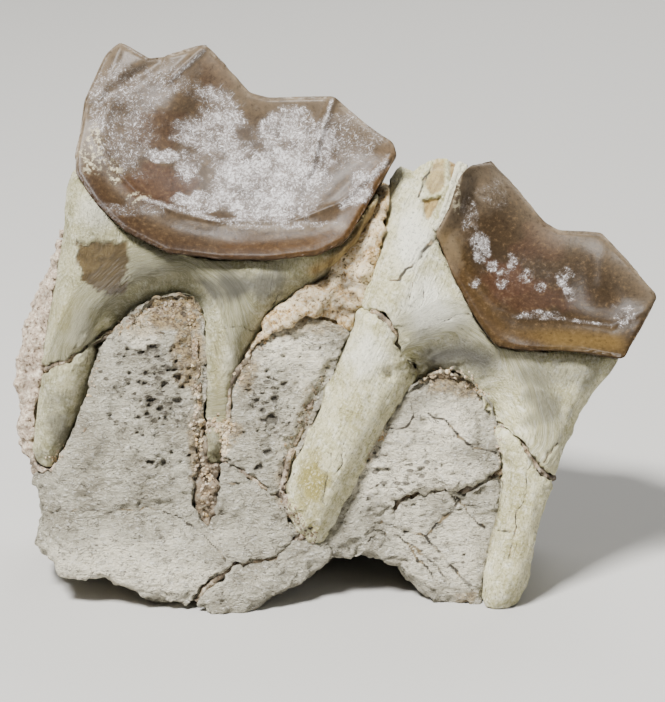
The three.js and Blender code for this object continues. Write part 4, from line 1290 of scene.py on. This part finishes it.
# %% Silt in the cracks
SEAM_STEP_MM = 0.6
SEAM_SIDE_MM = 0.9
SEAM_VOXEL_MM = 0.14
SEAM_RADIUS_MM = 0.42
SEAM_DEPTH_MM = 0.85
SEAM_LAYERS = [(0.14, 0.9, 1), (0.1, 0.4, 2)]
VIEWER_MM = 25
REAR_ROOT_BED = [(-1.4, 29), (-3.2, 25), (-5.6, 18.5), (-6.5, 14.5), (-5, 11.3), (-2.4, 9)]
BEDDINGS = [
    (0.35, [(-16.4, 22.9), (-14.6, 22.7), (-12.6, 22.6)]),
    (0.35, [(-27.3, 32.6), (-29, 26), (-30.6, 20)]),
    (0.05, [(-16.9, 33), (-16.5, 27), (-16.3, 22.5), (-16.2, 18.2)]),
    (0.35, [(-12.8, 27.3), (-12.9, 22.3), (-13.5, 18)]),
    (0.35, REAR_ROOT_BED),
    (0.1, [(-13, 27.3), (-11.6, 29.4), (-9.3, 32)]),
]


def surface_at(u, v):
    """How far out the dressed surface stands at a place of the cheek side, in mm, and None off it."""
    eye, towards = in_frame(u, v, VIEWER_MM), in_frame(0, 0, -1) - in_frame(0, 0, 0)
    hits = [piece.ray_cast(eye, towards.normalized()) for piece in dressed]
    return max(((TO_CHEEK @ place).z for hit, place, _, _ in hits if hit), default=None)


def along(path, step):
    """Places at even steps along a path, each with the direction across it."""
    for start, end in zip(path, path[1:]):
        start, end = Vector(start), Vector(end)
        across = (end - start).normalized().orthogonal()
        for share in np.arange(0, 1, step / (end - start).length):
            yield start.lerp(end, share), across


def ribbon(name, routes, radius):
    """Rough ribbons along routes of (u, v, w) points, joined in one mesh."""
    curve = bpy.data.curves.new(name, "CURVE")
    curve.dimensions = "3D"
    curve.bevel_depth = radius
    curve.bevel_resolution = 2
    curve.use_fill_caps = True
    for route in routes:
        spline = curve.splines.new("POLY")
        spline.points.add(len(route) - 1)
        for point, place in zip(spline.points, route):
            point.co = (*place, 1)
    tube = in_scene(name, curve)
    mesh = bpy.data.meshes.new_from_object(tube.evaluated_get(bpy.context.evaluated_depsgraph_get()))
    bpy.data.objects.remove(tube)
    rough = in_scene(name, mesh)
    remeshed(rough, SEAM_VOXEL_MM)
    points, normals = points_of(rough), normals_of(rough)
    move_points(rough, points + normals * relief(points, SEAM_LAYERS)[:, None])
    return rough


def beside(path, sides, depth):
    """A route along a path, below the lowest of the surfaces at these distances to its sides."""
    route = []
    for place, across in along(path, SEAM_STEP_MM):
        heights = [surface_at(*(place + side * across)) for side in sides]
        if None not in heights:
            route.append((*place, min(heights) - depth))
    return route


def make_seams():
    seams = [(SEAM_DEPTH_MM, path) for path in PARTING_CRACKS] + BEDDINGS
    routes = [beside(path, (-SEAM_SIDE_MM, SEAM_SIDE_MM), depth) for depth, path in seams]
    piece = ribbon("crack_silt", routes, SEAM_RADIUS_MM)
    points = points_of(piece)
    mark_lie(piece, *points.T)
    mark(piece, pink=0.5 + 0.5 * steps(-0.3, 0.3, lumps(points, 3, 3)))
    mark(piece, crack=0.3 + 0.5 * steps(-0.2, 0.5, lumps(points, 1.2, 4)))
    carry(piece, hardened_silt)


make_seams()

# %% [markdown]
# ## The broken edge of the rear enamel
#
# Beside the broken dentine the rear crown's enamel shows its thickness, as a pale, rough strip in two
# layers. Two ribbons along that edge make it, laid on the surface as the silt is in the cracks.

# %% Broken enamel edge
ENAMEL_EDGE = [(15.7, 54.4), (15, 52.6), (14.1, 49.9), (13.2, 47.3), (12.3, 45.7)]
ENAMEL_EDGE_MM = 0.36
ENAMEL_EDGE_SHIFTS = (-0.6, 0.05)
ENAMEL_EDGE_SLOPE = -0.4
ENAMEL_EDGE_DEPTH_MM = 0.2
ENAMEL_EDGE_TURN = -20


def make_enamel_edge():
    routes = []
    for shift in ENAMEL_EDGE_SHIFTS:
        path = [(u + shift, v + ENAMEL_EDGE_SLOPE * shift) for u, v in ENAMEL_EDGE]
        routes.append(beside(path, (SEAM_SIDE_MM - shift,), ENAMEL_EDGE_DEPTH_MM))
    piece = ribbon("rear_molar_enamel_edge", routes, ENAMEL_EDGE_MM)
    mark_lie(piece, *straight_grain(points_of(piece), ENAMEL_EDGE_TURN))
    mark(piece, chalk=0.5, crack=1)
    carry(piece, rear_cement)


make_enamel_edge()

# %% [markdown]
# ## Crumbs
#
# Loose grains of silt stick to the specimen where the roots enter the bone, under both arches and in the
# socket. Each is a small icosphere, squashed and turned at random from a fixed seed, and sunk a little into
# the surface that a ray finds under it. Hundreds of them are joined in one mesh.

# %% Crumbs
FRONT_ARCH_BED = [(-26, 34), (-23, 36.2), (-19, 36.8), (-17, 34.6)]
CRUMB_FIELDS = [
    (FRONT_ARCH_BED, 0.8, 110, (0.16, 0.42)),
    ([(-16.9, 33), (-16.5, 27), (-16.5, 23)], 0.6, 70, (0.12, 0.34)),
    ([(-16.6, 22.6), (-12.6, 22.6)], 0.7, 110, (0.16, 0.42)),
    ([(-13.2, 22), (-13.4, 18.3)], 0.5, 60, (0.14, 0.34)),
    ([(-16.6, 21.5), (-16.4, 16)], 0.5, 60, (0.14, 0.34)),
    ([(-15.5, 17.5), (-15.6, 11.5)], 0.7, 70, (0.14, 0.34)),
    ([(-11.9, 27.5), (-9.8, 32), (-7, 35)], 0.7, 60, (0.12, 0.34)),
    (REAR_ROOT_BED, 0.8, 110, (0.1, 0.28)),
    ([(-5.2, 12.5), (-2.6, 9.2)], 0.6, 40, (0.12, 0.32)),
    ([(10.4, 27.4), (12.6, 29), (15.2, 28.9), (17.8, 26.2)], 0.7, 90, (0.14, 0.38)),
    ([(3.6, 17.8), (6.4, 22.4)], 0.5, 30, (0.1, 0.24)),
    ([(-34, 18.3), (-32.6, 19.6)], 0.5, 24, (0.12, 0.28)),
    ([(-29.8, 26), (-28.4, 31)], 0.4, 30, (0.1, 0.24)),
    ([(19.4, 24), (20, 15)], 0.35, 30, (0.1, 0.22)),
]
CRUMB_SUNK = 0.3
CRUMB_ROUGH_MM = 0.07


def make_crumbs():
    draw = np.random.default_rng(11)
    bm = bmesh.new()
    for path, spread, count, (small, large) in CRUMB_FIELDS:
        places = [place for place, _ in along(path, SEAM_STEP_MM / 4)]
        for _ in range(count):
            u, v = np.array(places[draw.integers(len(places))]) + draw.normal(0, 0.6 * spread, 2)
            w, size = surface_at(u, v), draw.uniform(small, large)
            turn = Matrix.Rotation(draw.uniform(0, math.tau), 4, Vector(draw.normal(size=3)))
            squash = Matrix.Diagonal((*draw.uniform(0.6, 1.1, 3), 1))
            if w is not None:
                spot = Matrix.Translation((u, v, w - CRUMB_SUNK * size))
                bmesh.ops.create_icosphere(bm, subdivisions=1, radius=size, matrix=spot @ turn @ squash)
    piece = new_piece("silt_crumbs", bm)
    points, normals = points_of(piece), normals_of(piece)
    points += normals * CRUMB_ROUGH_MM * lumps(points, 0.3, 5)[:, None]
    move_points(piece, points)
    mark_lie(piece, *points.T)
    shaded = sum(lines(points, [(REAR_ROOT_BED, 1.5, 0.6), (FRONT_ARCH_BED, 1.5, 0.4)]))
    mark(piece, pink=0.8 * steps(-0.4, 0.4, lumps(points, 0.9, 6)))
    mark(piece, crack=0.55 * steps(0.1, 0.6, lumps(points, 1.1, 7)) + shaded)
    carry(piece, hardened_silt)


make_crumbs()

# %% [markdown]
# ## Floor and light
#
# A plain pale floor and soft light from area lamps: the key lamp stands high on the left, as in the
# photograph, where the right flank of each root is in shade. A weak lamp fills from the right, one behind
# lights the crests, and a pale world keeps the shadows open.

# %% Floor and light
FLOOR_REACH = 3.0
BOARD_IOR = 1.5
BOARD_ROUGHNESS = 0.8
LAMP_AIM = Vector((0, 0, 0.03))
LAMPS = {
    "key": ((-0.25, -0.4, 0.67), 0.18, 22),
    "fill": ((0.6, -0.6, 0.4), 0.5, 1),
    "back": ((0.2, 0.6, 0.6), 0.5, 6),
}
WORLD_STRENGTH = 0.12


def add_floor():
    material, _, shader = blank("pale_board", BOARD_IOR)
    shader.inputs["Base Color"].default_value = linear("#b4b2ad")
    shader.inputs["Roughness"].default_value = BOARD_ROUGHNESS
    bm = bmesh.new()
    bmesh.ops.create_grid(bm, x_segments=1, y_segments=1, size=FLOOR_REACH)
    floor = new_piece("floor", bm)
    floor.data.materials.append(material)


def add_lamp(name, place, size, power):
    """A square area lamp at a place in metres, turned to the middle of the specimen."""
    data = bpy.data.lights.new(name, "AREA")
    data.size = size
    data.energy = power
    lamp = in_scene(name, data)
    lamp.location = place
    lamp.rotation_euler = (LAMP_AIM - Vector(place)).to_track_quat("-Z", "Y").to_euler()


def add_world():
    world = bpy.data.worlds.new("studio")
    world.use_nodes = True
    background = next(node for node in world.node_tree.nodes if node.type == "BACKGROUND")
    background.inputs["Color"].default_value = linear("#f2f2f0")
    background.inputs["Strength"].default_value = WORLD_STRENGTH
    bpy.context.scene.world = world


add_floor()
for name, lamp in LAMPS.items():
    add_lamp(name, *lamp)
add_world()
print("lamps:", list(LAMPS))
